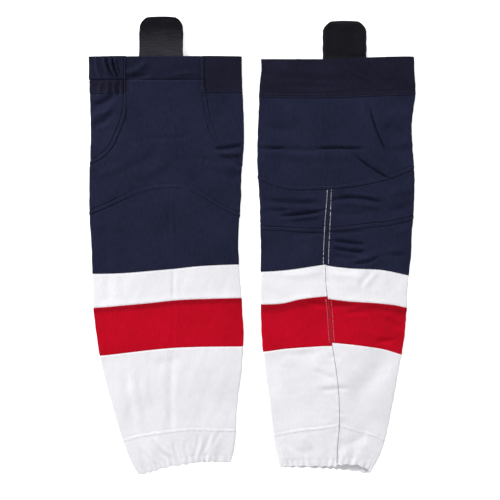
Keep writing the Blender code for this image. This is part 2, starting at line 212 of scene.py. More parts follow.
# Creases on the face that shows: from (x, s), to (x, s), half width, height, bow. x is across the sock
# from its middle line. A negative height is a valley.
LEFT_CREASES = (
    (-0.1170, 0.000, -0.1080, 0.040, 0.0026, 0.0011, 0.003),
    (-0.1040, 0.000, -0.0900, 0.036, 0.0021, 0.0015, 0.004),
    (-0.0930, 0.000, -0.0800, 0.038, 0.0019, 0.0016, 0.003),
    (-0.0850, 0.001, -0.0750, 0.040, 0.0017, 0.0014, 0.002),
    (-0.0980, 0.001, -0.0850, 0.038, 0.0016, -0.0013, 0.004),
    (-0.0885, 0.001, -0.0775, 0.038, 0.0015, -0.0013, 0.003),
    (-0.0860, 0.042, -0.0850, 0.068, 0.0020, 0.0012, 0.001),
    (-0.0960, 0.042, -0.0970, 0.064, 0.0024, 0.0010, 0.001),
    (-0.0780, 0.040, -0.0790, 0.066, 0.0020, -0.0011, 0.0),
    (-0.1090, 0.044, -0.1120, 0.066, 0.0030, 0.0007, 0.001),
    (-0.0660, 0.030, -0.0300, 0.010, 0.0044, 0.0012, 0.003),
    (-0.0660, 0.036, -0.0250, 0.030, 0.0036, -0.0010, 0.002),
    (0.0100, 0.034, 0.0550, 0.030, 0.0034, 0.0008, -0.002),
    (-0.1240, 0.084, -0.0860, 0.066, 0.0054, -0.0015, 0.003),
    (-0.1240, 0.100, -0.0900, 0.088, 0.0054, 0.0014, 0.003),
    (-0.1240, 0.116, -0.0980, 0.108, 0.0046, -0.0011, 0.002),
    (-0.0350, 0.139, 0.0360, 0.137, 0.0032, -0.0005, 0.001),
    (-0.0120, 0.116, 0.0070, 0.136, 0.0028, -0.0003, 0.0),
    (0.0060, 0.116, -0.0130, 0.134, 0.0028, -0.0003, 0.0),
    (-0.0780, 0.194, -0.0080, 0.160, 0.0070, -0.0007, 0.004),
    (-0.0450, 0.206, 0.0050, 0.178, 0.0060, 0.0006, 0.003),
    (-0.1180, 0.206, -0.0600, 0.186, 0.0065, 0.0007, -0.003),
    (0.0820, 0.158, 0.1270, 0.152, 0.0034, -0.0016, 0.001),
    (0.0860, 0.165, 0.1270, 0.164, 0.0036, 0.0014, 0.001),
    (0.0560, 0.172, 0.1100, 0.182, 0.0050, -0.0009, 0.002),
    (0.0900, 0.178, 0.1280, 0.196, 0.0040, 0.0009, 0.0),
    (0.0700, 0.190, 0.1270, 0.208, 0.0060, -0.0008, 0.002),
    (0.0125, 0.222, 0.0115, 0.356, 0.0026, 0.0003, 0.0),
    (0.0080, 0.232, 0.0075, 0.350, 0.0024, -0.0002, 0.0),
    (-0.1040, 0.285, -0.0990, 0.352, 0.0090, -0.0008, 0.002),
    (0.0120, 0.366, 0.0100, 0.414, 0.0030, -0.0008, 0.0),
    (0.0100, 0.424, 0.0040, 0.490, 0.0030, -0.0005, 0.0),
    (0.0040, 0.500, -0.0110, 0.634, 0.0058, -0.0009, 0.002),
    (-0.0780, 0.530, -0.0700, 0.636, 0.0070, -0.0010, 0.002),
    (-0.0400, 0.540, -0.0360, 0.600, 0.0060, -0.0005, 0.002),
    (-0.0460, 0.648, -0.0240, 0.682, 0.0026, -0.0009, 0.002),
    (-0.0400, 0.646, -0.0180, 0.676, 0.0028, 0.0009, 0.002),
    (-0.0640, 0.655, -0.0380, 0.690, 0.0030, 0.0008, 0.002),
    (-0.0100, 0.655, -0.0060, 0.690, 0.0026, -0.0008, 0.0),
    (0.0220, 0.684, 0.0340, 0.648, 0.0026, -0.0006, 0.001),
    (0.0300, 0.684, 0.0420, 0.648, 0.0028, 0.0002, 0.001),
    (0.0360, 0.680, 0.0540, 0.648, 0.0026, -0.0004, 0.001),
    (0.0560, 0.668, 0.0700, 0.646, 0.0030, -0.0005, 0.0),
    (0.0080, 0.660, 0.0120, 0.690, 0.0028, -0.0008, 0.0),
    (-0.1040, 0.372, -0.0960, 0.410, 0.0060, -0.0006, 0.002),
    (-0.0880, 0.368, -0.0800, 0.405, 0.0060, 0.0005, 0.002),
    (-0.0720, 0.520, -0.0620, 0.632, 0.0080, 0.0006, 0.003),
    (-0.0560, 0.515, -0.0500, 0.625, 0.0060, -0.0004, 0.003),
    (-0.0280, 0.522, 0.0200, 0.516, 0.0085, -0.0006, 0.0),
)
RIGHT_CREASES = (
    (-0.1280, 0.032, 0.0300, 0.040, 0.0060, -0.0006, 0.004),
    (-0.0900, 0.050, 0.0100, 0.052, 0.0040, -0.0006, 0.001),
    (0.0100, 0.014, 0.0500, 0.040, 0.0028, 0.0009, 0.002),
    (0.0350, 0.010, 0.0620, 0.036, 0.0028, 0.0008, 0.002),
    (0.0500, 0.012, 0.0900, 0.050, 0.0032, -0.0009, 0.002),
    (0.0880, 0.016, 0.1150, 0.048, 0.0036, 0.0009, 0.0),
    (-0.1310, 0.1555, -0.0860, 0.1565, 0.0030, -0.0017, 0.001),
    (-0.0840, 0.160, -0.0360, 0.161, 0.0040, -0.0008, -0.001),
    (-0.0380, 0.1575, 0.0440, 0.158, 0.0028, -0.0018, -0.001),
    (-0.1200, 0.168, 0.0300, 0.169, 0.0060, 0.0008, 0.001),
    (0.0560, 0.086, 0.0845, 0.163, 0.0018, -0.0019, 0.003),
    (0.0430, 0.082, 0.0720, 0.150, 0.0050, 0.0011, 0.003),
    (0.0600, 0.078, 0.0890, 0.146, 0.0060, 0.0008, 0.003),
    (0.0310, 0.1700, 0.0900, 0.209, 0.0018, -0.0019, 0.002),
    (0.0300, 0.158, 0.0860, 0.196, 0.0050, 0.0010, 0.002),
    (-0.1150, 0.120, -0.0650, 0.124, 0.0080, -0.0010, 0.002),
    (0.0780, 0.120, 0.1240, 0.128, 0.0080, -0.0010, 0.003),
    (0.0850, 0.100, 0.1260, 0.096, 0.0080, 0.0009, 0.003),
    (0.0900, 0.150, 0.1260, 0.146, 0.0060, 0.0008, 0.002),
    (-0.0800, 0.080, -0.0700, 0.130, 0.0060, 0.0005, 0.002),
    (-0.1180, 0.246, -0.0240, 0.250, 0.0050, -0.0012, 0.002),
    (-0.1100, 0.254, -0.0400, 0.257, 0.0040, 0.0009, 0.001),
    (-0.1000, 0.272, -0.0220, 0.262, 0.0028, -0.0017, 0.002),
    (-0.0800, 0.276, -0.0300, 0.270, 0.0040, 0.0009, 0.001),
    (-0.1200, 0.262, -0.0860, 0.266, 0.0050, -0.0008, 0.0),
    (-0.0120, 0.246, 0.0200, 0.240, 0.0040, -0.0010, 0.0),
    (0.0120, 0.241, 0.0760, 0.250, 0.0034, -0.0017, -0.003),
    (0.0000, 0.250, 0.0700, 0.258, 0.0045, 0.0010, -0.002),
    (-0.0120, 0.265, 0.0500, 0.268, 0.0050, -0.0009, 0.002),
    (0.0900, 0.230, 0.1260, 0.222, 0.0070, 0.0010, 0.002),
    (0.0860, 0.262, 0.1240, 0.254, 0.0070, -0.0010, 0.002),
    (-0.0780, 0.304, -0.0300, 0.302, 0.0040, -0.0008, 0.0),
    (-0.0080, 0.300, 0.0480, 0.297, 0.0036, -0.0010, 0.001),
    (-0.0080, 0.313, 0.0460, 0.320, 0.0032, -0.0014, 0.001),
    (-0.0060, 0.320, 0.0500, 0.327, 0.0034, 0.0009, 0.001),
    (-0.0060, 0.327, 0.0440, 0.332, 0.0032, -0.0013, 0.001),
    (-0.0060, 0.340, 0.0300, 0.343, 0.0040, -0.0007, 0.001),
    (0.0280, 0.353, 0.0740, 0.338, 0.0034, -0.0014, 0.003),
    (0.0700, 0.339, 0.1180, 0.337, 0.0040, -0.0010, -0.002),
    (0.0340, 0.345, 0.1050, 0.329, 0.0060, 0.0009, 0.002),
    (0.0950, 0.300, 0.1220, 0.292, 0.0060, 0.0008, 0.0),
    (-0.0900, 0.374, -0.0260, 0.366, 0.0050, 0.0007, 0.002),
    (-0.0100, 0.370, 0.0400, 0.372, 0.0050, 0.0007, 0.001),
    (0.0700, 0.366, 0.0460, 0.390, 0.0045, 0.0008, 0.001),
    (0.0620, 0.366, 0.0380, 0.392, 0.0050, -0.0007, 0.001),
    (-0.0500, 0.419, -0.0140, 0.424, 0.0036, -0.0012, 0.001),
    (-0.0060, 0.424, 0.0340, 0.421, 0.0036, -0.0013, 0.001),
    (0.0180, 0.436, 0.0500, 0.433, 0.0034, -0.0010, 0.0),
    (0.0600, 0.426, 0.0980, 0.430, 0.0040, -0.0010, 0.0),
    (0.0880, 0.442, 0.1180, 0.458, 0.0050, -0.0016, 0.002),
    (0.0740, 0.482, 0.1060, 0.478, 0.0040, -0.0018, 0.001),
    (0.0300, 0.462, 0.0900, 0.470, 0.0080, 0.0008, 0.002),
    (-0.0900, 0.512, -0.0200, 0.504, 0.0060, -0.0006, 0.001),
    (-0.0350, 0.535, 0.0050, 0.548, 0.0045, -0.0008, 0.001),
    (-0.0300, 0.560, 0.0150, 0.556, 0.0050, 0.0006, 0.001),
    (-0.0200, 0.568, 0.0300, 0.562, 0.0035, -0.0007, 0.001),
    (0.1000, 0.505, 0.0380, 0.592, 0.0200, -0.0023, 0.004),
    (0.0560, 0.512, 0.0150, 0.562, 0.0100, 0.0004, 0.003),
    (-0.0900, 0.524, -0.0700, 0.600, 0.0100, 0.0006, 0.004),
    (-0.0750, 0.660, -0.0350, 0.680, 0.0050, -0.0006, 0.002),
    (-0.0480, 0.650, -0.0300, 0.668, 0.0050, 0.0007, 0.0),
    (0.0180, 0.662, 0.0620, 0.640, 0.0060, -0.0007, 0.002),
    (0.0600, 0.650, 0.0840, 0.672, 0.0050, 0.0006, 0.0),
)

# How far each folded edge is pulled to the right of the pattern's own edge as it lies: (s, distance),
# for the left edge and then the right one
LEFT_EDGES = (
    ((0.0, -0.0005), (0.04, 0.0), (0.09, 0.0014), (0.17, 0.001), (0.21, -0.0014), (0.27, -0.0012),
     (0.33, 0.0024), (0.37, 0.0030), (0.41, 0.0014), (0.47, 0.0012), (0.53, -0.0014), (0.60, -0.0012),
     (0.64, 0.0012), (0.70, 0.001)),
    ((0.0, 0.0), (0.05, 0.001), (0.09, 0.0034), (0.145, 0.0046), (0.17, 0.0034), (0.20, 0.0010), (0.25, 0.0),
     (0.28, -0.0024), (0.31, -0.0048), (0.37, -0.0050), (0.41, -0.0034), (0.45, -0.0014), (0.475, 0.0014),
     (0.52, 0.0034), (0.55, 0.0045), (0.58, 0.0034), (0.63, 0.0008), (0.66, 0.0020), (0.70, 0.0046)),
)
RIGHT_EDGES = (
    ((0.0, 0.0), (0.03, -0.0005), (0.05, -0.0030), (0.09, -0.0050), (0.13, -0.0070), (0.17, -0.0080),
     (0.20, -0.0070), (0.245, -0.0050), (0.295, -0.0030), (0.33, -0.0016), (0.38, -0.0005), (0.50, -0.0008),
     (0.55, -0.0028), (0.60, -0.0016), (0.65, -0.0005), (0.70, -0.0045)),
    ((0.0, 0.0), (0.03, 0.0014), (0.065, 0.0034), (0.09, 0.0), (0.12, -0.0032), (0.15, -0.0016),
     (0.19, 0.0016), (0.27, 0.0016), (0.30, -0.0016), (0.335, -0.0024), (0.355, -0.0048),
     (0.38, -0.0078), (0.43, -0.0084),
     (0.47, -0.0068), (0.53, -0.0060), (0.57, -0.0030), (0.61, -0.0020), (0.65, -0.0024), (0.70, -0.0045)),
)

SOCKS = (
    Sock("left", 7.6, True, LEFT_LINES, LEFT_BELL_LEFT, LEFT_BELL_RIGHT, NO_TWIST, LEFT_CREASES, LEFT_EDGES,
         0.0024, 11),
    Sock("right", -4.4, False, RIGHT_LINES, RIGHT_BELL_LEFT, RIGHT_BELL_RIGHT, RIGHT_TWIST, RIGHT_CREASES,
         RIGHT_EDGES, -0.0050, 37),
)


# The sock as a surface

def line_at(sock, name, t):
    points = sock.lines[name]
    if name != "arc":
        t = (np.asarray(t, float) + 2) % 4 - 2 if np.any(np.abs(t) > 2) else t
    return smooth_through(points, t)


def middle(sock, s):
    """The middle line at s, and the directions across and along the sock there."""
    s = np.asarray(s, float)
    radius = (SOCK_LENGTH - LEAN_DROP) / sock.lean
    turn = np.maximum(s - LEAN_DROP, 0) / radius
    straight = np.minimum(s, LEAN_DROP)
    x = sock.middle_x + radius * (1 - np.cos(turn))
    y = sock.mouth_y - straight - radius * np.sin(turn)
    return x, y, np.cos(turn), np.sin(turn)


def between(s, mouth, leg, hem):
    """A size that changes smoothly from the mouth to the leg and again to the hem."""
    down = ease(s, 0.0, 0.08)
    low = ease(s, 0.60, 0.69)
    return mouth + (leg - mouth) * down + (hem - leg) * low


def seam_distances(sock, t, s, half):
    """How far each place is from each seam that it is near, with the seam's kind."""
    face = np.abs((t + 2) % 4 - 2)
    found = []
    for name, kind in (("knee", "lapped"), ("white_top", "plain"), ("red_top", "turned_down"),
                       ("red_bottom", "plain"), ("ankle", "lapped_small")):
        at = line_at(sock, name, t)
        step = (line_at(sock, name, np.clip(t + 0.01, -2, 2)) - at) / (0.01 * half)
        found.append(((s - at) / np.sqrt(1 + np.clip(step, -2, 2) ** 2), kind))
    behind = face >= np.where(t < 0, 0.51, 0.49)
    at = line_at(sock, "elastic", t)
    found.append((np.where(behind, s - at, 1.0), "elastic"))
    cased = (t >= (-1.0 if sock.front_up else -0.5)) & (t <= 0.5)
    found.append((np.where(cased, s - CASING_DEPTH, 1.0), "casing"))
    found.append((s - (line_at(sock, "hem", t) - HEM_TUNNEL), "hem"))
    arc = sock.lines["arc"]
    turned = np.where(t < 0, t + 4, t)
    at = smooth_through(arc, turned)
    found.append((np.where(face >= 1, s - at, 1.0), "lapped"))
    for bell, side in ((sock.bell_left, -1), (sock.bell_right, 1)):
        near = np.full(np.shape(t), 1.0)
        pick = (np.sign(t) == side) & (face <= 1.0) & (face > 0.4) & (s < 0.215)
        if np.any(pick):
            drops = np.linspace(bell[0][0], bell[-1][0], 140)
            reach = smooth_through(bell, drops) * half[pick].mean()
            q = face[pick] * half[pick]
            p = s[pick]
            best = np.full(q.shape, 1.0)
            sign = np.ones(q.shape)
            for k in range(len(drops) - 1):
                ax, ay = reach[k], drops[k]
                bx, by = reach[k + 1] - ax, drops[k + 1] - ay
                f = np.clip(((q - ax) * bx + (p - ay) * by) / (bx * bx + by * by), 0, 1)
                dx, dy = q - ax - f * bx, p - ay - f * by
                away = np.hypot(dx, dy)
                closer = away < best
                best = np.where(closer, away, best)
                sign = np.where(closer, np.sign(bx * dy - by * dx), sign)
            near[pick] = best * np.where(sign == 0, 1, sign)
        found.append((near, "lapped"))
    return found


def seam_relief(d, kind):
    """How far the cloth stands out at a distance from a seam of that kind."""
    far = np.abs(d)
    if kind == "lapped":
        band = 0.00075 * (1 - ease(far, 0.0016, 0.0032))
        return band - 0.00150 * np.exp(-((far - 0.0034) / 0.0009) ** 2) - 0.0006 * np.exp(-(d / 0.0007) ** 2)
    if kind == "lapped_small":
        band = 0.00014 * (1 - ease(far, 0.0012, 0.0026))
        return band - 0.00045 * np.exp(-((d + 0.0022) / 0.0009) ** 2)
    if kind == "turned_down":
        allowance = 0.00090 * np.exp(-((d - 0.0010) / 0.0075) ** 2)
        return np.where(far < 0.03, allowance, 0) - 0.00055 * np.exp(-(d / 0.0011) ** 2)
    if kind == "plain":
        ridge = 0.00012 * np.exp(-((d - 0.0032) / 0.0020) ** 2)
        return ridge - 0.00055 * np.exp(-(d / 0.0011) ** 2)
    if kind == "elastic":
        step = 0.00060 * (1 - ease(d, -0.0006, 0.0010)) * (far < 0.5)
        grooves = 0.00075 * (np.exp(-((d + 0.0028) / 0.0008) ** 2) + np.exp(-((d - 0.0012) / 0.0009) ** 2))
        return np.where(far < 0.1, step, 0) - grooves
    if kind == "hem":
        return -0.00040 * np.exp(-(d / 0.0011) ** 2)
    groove = 0.00170 * np.exp(-(d / 0.0011) ** 2)
    return 0.00035 * np.exp(-((far - 0.0030) / 0.0018) ** 2) - groove


def crease_relief(creases, x, s):
    """Valleys and ridges laid along the creases."""
    total = np.zeros(np.shape(x))
    for x0, s0, x1, s1, wide, height, bow in creases:
        length = math.hypot(x1 - x0, s1 - s0)
        ux, us = (x1 - x0) / length, (s1 - s0) / length
        along = ((x - x0) * ux + (s - s0) * us) / length
        away = -(x - x0) * us + (s - s0) * ux - bow * 4 * along * (1 - along)
        pick = (along > -0.15) & (along < 1.15) & (np.abs(away) < 6 * wide)
        a, d = along[pick], away[pick] / wide
        fade = ease(a, -0.12, 0.22) * (1 - ease(a, 0.78, 1.12))
        shape = np.exp(-d ** 2) - 0.28 * np.exp(-((np.abs(d) - 2.1) / 1.2) ** 2)
        strength = CREASE_STRENGTH * (1 - 0.48 * ease((s0 + s1) / 2, 0.34, 0.37))
        total[pick] += strength * height * fade * shape
    return total


def gathers(sock, t, s, x, half):
    """Pleats that fan up from the elastic in the hem, and its scalloped edge."""
    start = line_at(sock, "ankle", t)
    end = line_at(sock, "hem", t)
    f = np.clip((s - start) / np.maximum(end - start, 0.01), 0, 1.1)
    around = x / half + 0.25 * ripple(x * 0 + t, t * 0, 1.3, sock.seed + 5, 4) * 0.1
    wide = np.sin(around * 21 + 1.6 * np.sin(around * 5 + sock.seed))
    fine = np.sin(around * 47 + 2.2 * np.sin(around * 7 + 2 * sock.seed))
    strength = 0.6 + 0.4 * np.sin(around * 4.2 + sock.seed)
    pleats = 0.00080 * wide * strength * ease(f, 0.05, 0.75) * (1 - 0.35 * ease(f, 0.8, 1.0))
    ruffle = 0.00060 * fine * ease(f, 0.7, 1.0)
    return pleats + ruffle


def relief(sock, t, s, x, half, on_top):
    """How far the cloth stands out of the smooth tube."""
    seed = sock.seed
    soft = 0.00055 * ripple(x, s, 0.085, seed) + 0.00020 * ripple(x, s, 0.032, seed + 1)
    soft += 0.00006 * ripple(x, s, 0.012, seed + 2)
    found = seam_distances(sock, t, s, half)
    out = soft + gathers(sock, t, s, x, half)
    if np.any(on_top):
        creases = crease_relief(sock.creases, x, s)
        out = out + np.where(on_top, creases, 0)
    for d, kind in found:
        pucker = np.exp(-(d / 0.006) ** 2) * 0.00016 * ripple(x, s, 0.010, seed + 3)
        out = out + seam_relief(d, kind) + np.where(np.abs(d) < 0.03, pucker, 0)
    back = (2 - np.abs((t + 2) % 4 - 2)) * half
    top_of_back = smooth_through(sock.lines["arc"], np.full(np.shape(t), 2.0))
    in_back = (s > top_of_back) & (back < 0.02)
    rows = np.exp(-((back - 0.0042) / 0.0010) ** 2)
    puckers = 0.00030 * np.exp(-(back / 0.007) ** 2) * ripple(x * 0.2, s, 0.011, seed + 4)
    flatter = 1 - 0.65 * ease(s, 0.35, 0.37)
    out = out + np.where(in_back, flatter * (0.00035 * (1 - ease(back, 0.003, 0.005)) - 0.00050 * rows)
                         - 0.00035 * np.exp(-(back / 0.0006) ** 2) + puckers, 0)
    return out


def surface(sock, t, s, depth):
    """Points of the sock at arrays of t, s and depth, as an array of x, y, z."""
    t, s, depth = np.broadcast_arrays(np.asarray(t, float), np.asarray(s, float), np.asarray(depth, float))
    t = (t + 2) % 4 - 2
    half = smooth_through(WIDTHS, s) / 2
    round_edge = between(s, MOUTH_EDGE, LEG_EDGE, HEM_EDGE)
    crown = between(s, MOUTH_CROWN, LEG_CROWN, HEM_CROWN)
    on_front = np.abs(t) <= 1
    swing = smooth_through(sock.twist, s)
    behind = np.clip(np.abs(t) - 1, 0, 1)
    back_a = np.where(t < 0, -1 + behind * (1 + swing), 1 - behind * (1 - swing))
    a = np.where(on_front, t, back_a)
    on_top = on_front == sock.front_up
    reach = np.abs(a)
    flat = half - round_edge
    f = np.clip(reach / (1 - EDGE_SHARE), 0, 1)
    in_flat = reach <= 1 - EDGE_SHARE
    turn = np.clip((reach - 1 + EDGE_SHARE) / EDGE_SHARE, 0, 1) * math.pi / 2
    x_flat = np.sign(a) * np.where(in_flat, flat * f, flat + round_edge * np.sin(turn))
    out = relief(sock, t, s, x_flat, half, on_top)
    lifted = np.where(on_top, 1 - 0.55 * turn / (math.pi / 2), 0.45 * turn / (math.pi / 2))
    out = np.where(out > 0, out * lifted, out * np.maximum(lifted, 0.35))
    room = crown * (1 - 0.5 * f ** DOME_POWER) - 0.0026
    out = np.maximum(out, -np.maximum(room, 0.0002))
    depth = depth - out
    radius = round_edge - depth
    across = np.where(in_flat, flat * f, flat + radius * np.sin(turn))
    rise = crown - 2 * round_edge
    high = 2 * round_edge + rise * (1 - f ** DOME_POWER) - depth
    z = np.where(in_flat, np.where(on_top, high, depth),
                 round_edge + np.where(on_top, 1, -1) * radius * np.cos(turn))
    z = z + np.where(on_top, 0, UNDER_GAP * np.cos(turn))
    side = np.where(a < 0, 0.0, 5.0)
    wobble = 0.00022 * ripple(side, s, 0.017, sock.seed + 7)
    across = across + wobble * reach ** 6
    hem = line_at(sock, "hem", t)
    phase = np.where(on_front, 0.0, 2.4) + 2.0 * np.sin(a * 6 + sock.seed)
    scallop = 0.0010 * np.sin(a * 34 + phase) * (1 - reach ** 8) * ease(s, hem - 0.007, hem)
    cx, cy, nx, ny = middle(sock, s + scallop)
    pulled = np.where(a < 0, smooth_through(sock.edges[0], s), smooth_through(sock.edges[1], s))
    signed = np.sign(a) * across + pulled * np.minimum(reach, 1) ** 3
    return np.stack([cx + signed * nx, cy + signed * ny, np.maximum(z, 0.00005)], axis=-1)


# Panels

def steps(low, high, step):
    count = max(1, round((high - low) / step))
    return [low + (high - low) * k / count for k in range(count)]


def half_columns(bell):
    """t from a bell seam, over the folded edge, to the middle of the back."""
    made = steps(bell, bell + 0.06, 0.004) + steps(bell + 0.06, 1 - EDGE_SHARE, COLUMN_STEP)
    made += steps(1 - EDGE_SHARE, 1 + EDGE_SHARE, 0.01) + steps(1 + EDGE_SHARE, 1.93, COLUMN_STEP)
    return made + steps(1.93, 2.0, 0.0058) + [2.0]


def drops_between(upper, lower):
    """Shares of the way down a panel: fine rows at both seams, even rows between."""
    tallest = max(abs(low[1] - high[1]) for high, low in zip(upper, lower))
    edge = [r / tallest for r in SEAM_ROWS]
    inner = steps(edge[-1], 1 - edge[-1], ROW_STEP / tallest)
    return edge[:-1] + inner + [1 - r for r in reversed(edge)]


def vertex_places(mesh):
    places = np.empty(len(mesh.vertices) * 3)
    mesh.vertices.foreach_get("co", places)
    return places.reshape(-1, 3)


def grid_sheet(name, columns, rows):
    """A flat sheet from -0.5 to 0.5 both ways, and the places of its vertices."""
    bm = bmesh.new()
    bmesh.ops.create_grid(bm, x_segments=columns, y_segments=rows, size=0.5)
    mesh = bpy.data.meshes.new(name)
    bm.to_mesh(mesh)
    bm.free()
    return mesh, vertex_places(mesh)


def map_cloth(mesh, across, along):
    """Gives a sheet its UV map, in metres of flat cloth."""
    layer = mesh.uv_layers.new(name="UVMap")
    corner = np.empty(len(mesh.loops), int)
    mesh.loops.foreach_get("vertex_index", corner)
    layer.data.foreach_set("uv", np.stack([across[corner], along[corner]], axis=1).ravel())


def add_object(name, data):
    made = bpy.data.objects.new(name, data)
    bpy.context.scene.collection.objects.link(made)
    return made


def apply_modifiers(piece, name):
    mesh = bpy.data.meshes.new_from_object(piece.evaluated_get(bpy.context.evaluated_depsgraph_get()))
    piece.modifiers.clear()
    piece.data = mesh
    mesh.name = name
    return mesh


def cloth_panel(name, sock, upper, lower, thickness, material, turned=None, depth=0.0):
    """A panel of cloth between two lines of (t, s), turned in at its lower edge if asked."""
    shares = drops_between(upper, lower)
    extra = []
    if turned:
        roll, run = turned
        extra = [("roll", k / 6) for k in range(1, 7)] + [("run", k / 5) for k in range(1, 6)]
    rows = len(shares) - 1 + len(extra)
    columns = len(upper) - 1
    mesh, flat = grid_sheet(name, columns, rows)
    i = np.rint((flat[:, 0] + 0.5) * columns).astype(int)
    j = np.rint((0.5 - flat[:, 1]) * rows).astype(int)
    high = np.array(upper)[i]
    low = np.array(lower)[i]
    way = 1 if lower[0][1] > upper[0][1] else -1
    share = np.array(shares + [1.0] * len(extra))[j]
    t = high[:, 0] + (low[:, 0] - high[:, 0]) * share
    s = high[:, 1] + (low[:, 1] - high[:, 1]) * share
    deep = np.full(len(flat), depth)
    if turned:
        for k, (part, f) in enumerate(extra):
            row = j == len(shares) + k
            if part == "roll":
                s[row] += way * roll * math.sin(f * math.pi)
                deep[row] += roll * (1 - math.cos(f * math.pi))
            else:
                s[row] -= way * run * f
                deep[row] += 2 * roll
    places = surface(sock, t, s, deep)
    mesh.vertices.foreach_set("co", places.ravel())
    map_cloth(mesh, t * ROUND_STEP, s + deep * 2)
    # Distance below the panel's upper seam, which the red stripe's painted shade reads.
    below = mesh.attributes.new("below_seam", "FLOAT", "POINT")
    below.data.foreach_set("value", np.abs(s - high[:, 1]) / sock.allowance)
    area = area_between(upper, lower)
    if turned:
        area += (turned[1] + math.pi * turned[0]) * (max(lower)[0] - min(lower)[0]) * ROUND_STEP
    faces_in = (not sock.front_up) != (way < 0)
    return finish_cloth(name, mesh, thickness, material, faces_in), area


def area_between(upper, lower):
    total = 0.0
    for k in range(len(upper) - 1):
        wide = (abs(upper[k + 1][0] - upper[k][0]) + abs(lower[k + 1][0] - lower[k][0])) / 2
        tall = abs(lower[k][1] - upper[k][1] + lower[k + 1][1] - upper[k + 1][1]) / 2
        here = (upper[k][1] + lower[k][1]) / 2
        total += wide * tall * float(smooth_through(WIDTHS, here)) / 2
    return total


def finish_cloth(name, mesh, thickness, material, faces_in, offset=-1):
    """Gives a one-layer mesh its thickness, inwards, and makes it the final piece."""
    if faces_in:
        mesh.flip_normals()
    piece = add_object(name, mesh)
    wall = piece.modifiers.new("wall", "SOLIDIFY")
    wall.thickness = thickness
    wall.offset = offset
    wall.use_even_offset = False
    applied = apply_modifiers(piece, name)
    bpy.data.meshes.remove(mesh)
    applied.shade_smooth()
    applied.set_sharp_from_angle(angle=math.radians(50))
    piece.data.materials.clear()
    piece.data.materials.append(material)
    return piece


def bell_drop(bell, reach):
    """s of a bell seam where it is that far from the middle of the front."""
    drops = np.linspace(bell[0][0], bell[-1][0], 400)
    return float(np.interp(reach, smooth_through(bell, drops), drops))


def sew_sock(sock, finish):
    """All the cloth panels of one sock, with what each stands for and follows."""
    left_start, right_start = sock.bell_left[1][1], sock.bell_right[1][1]
    left_half, right_half = half_columns(left_start), half_columns(right_start)
    front = steps(-left_start, right_start, COLUMN_STEP)[1:]
    ring = [-t for t in reversed(left_half)] + front + right_half
    band = right_half + [4 - t for t in reversed(left_half[:-1])]
    line = lambda name, columns: [(t, float(line_at(sock, name, np.array(t)))) for t in columns]

    def wrapped(name, columns):
        return [(t, float(line_at(sock, name, np.array(t if t <= 2 else t - 4)))) for t in columns]

    def thigh_edge(t):
        side = t if t <= 2 else 4 - t
        bell = sock.bell_right if t <= 2 else sock.bell_left
        if side <= 1:
            return bell_drop(bell, side)
        return float(smooth_through(sock.lines["arc"], t))

    mouth_band = wrapped("mouth", band)
    mouth_band[0] = (sock.bell_right[0][1], mouth_band[0][1])
    mouth_band[-1] = (4 - sock.bell_left[0][1], mouth_band[-1][1])
    elastic_low = wrapped("elastic", band)
    thigh_low = [(t, max(thigh_edge(t), elastic_low[k][1] + 0.004)) for k, t in enumerate(band)]
    knee_high = []
    for t in ring:
        if -left_start < t < right_start:
            knee_high.append((t, CASING_DEPTH))
        else:
            turned = t if t > 0 else t + 4
            below_elastic = float(line_at(sock, "elastic", np.array(t))) + 0.004
            knee_high.append((t, max(thigh_edge(turned), below_elastic)))
    first = next(k for k, t in enumerate(ring) if t > -left_start + 1e-9)
    last = max(k for k, t in enumerate(ring) if t < right_start - 1e-9)
    knee_high[first] = (-sock.bell_left[0][1], knee_high[first][1])
    knee_high[last] = (sock.bell_right[0][1], knee_high[last][1])

    casing = [-sock.bell_left[0][1]] + front[1:-1] + [sock.bell_right[0][1]]
    casing_low = [(t, CASING_DEPTH) for t in casing]
    casing_high = [(t, float(line_at(sock, "mouth", np.array(t))) + CASING_ROLL) for t in casing]
    corner = [t for t in ring if -1.0 < t < -left_start] + [-sock.bell_left[0][1]]
    corner_low = [(t, CASING_DEPTH) for t in corner]
    corner_high = [(t, float(line_at(sock, "mouth", np.array(t))) - 0.0004) for t in corner]
    plan = (
        ("waist_elastic", mouth_band, elastic_low, ELASTIC, "navy_elastic", None, "upper"),
        ("casing", casing_low, casing_high, KNIT, "navy_knit", (CASING_ROLL, CASING_DEPTH - 0.004), "upper"),
        ("corner_cover", corner_low, corner_high, 0.0006, "navy_knit", None, "upper"),
        ("thigh_panel", elastic_low, thigh_low, KNIT, "navy_knit", None, "upper"),
        ("knee_panel", knee_high, line("knee", ring), KNIT, "navy_knit", None, "upper"),
        ("shin_panel", line("knee", ring), line("white_top", ring), KNIT, "navy_knit", None, "fold"),
        ("upper_white_stripe", line("white_top", ring), line("red_top", ring), KNIT, "white_knit", None,
         "fold"),
        ("red_stripe", line("red_top", ring), line("red_bottom", ring), KNIT, "red_knit", None, "lower"),
        ("calf_panel", line("red_bottom", ring), line("ankle", ring), KNIT, "white_knit", None, "lower"),
        ("ankle_panel", line("ankle", ring), line("hem", ring), KNIT, "white_knit",
         (HEM_ROLL, HEM_TUNNEL - 0.001), "lower"),
    )
    for part, high, low, thickness, slot, turned, follows in plan:
        if part == "corner_cover" and not sock.front_up:
            continue
        name = sock.name + "_" + part
        deep = -0.0006 if part == "corner_cover" else 0.0
        # The casing and the corner cover take a darker copy of the navy knit: painted shade over the rolled
        # mouth.
        look = finish["navy_casing" if part in ("casing", "corner_cover") else slot]
        piece, area = cloth_panel(name + "_cloth", sock, high, low, thickness, look, turned, deep)
        if name in frame["nodes"]:
            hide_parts(name)
        attach(piece, sock, follows)


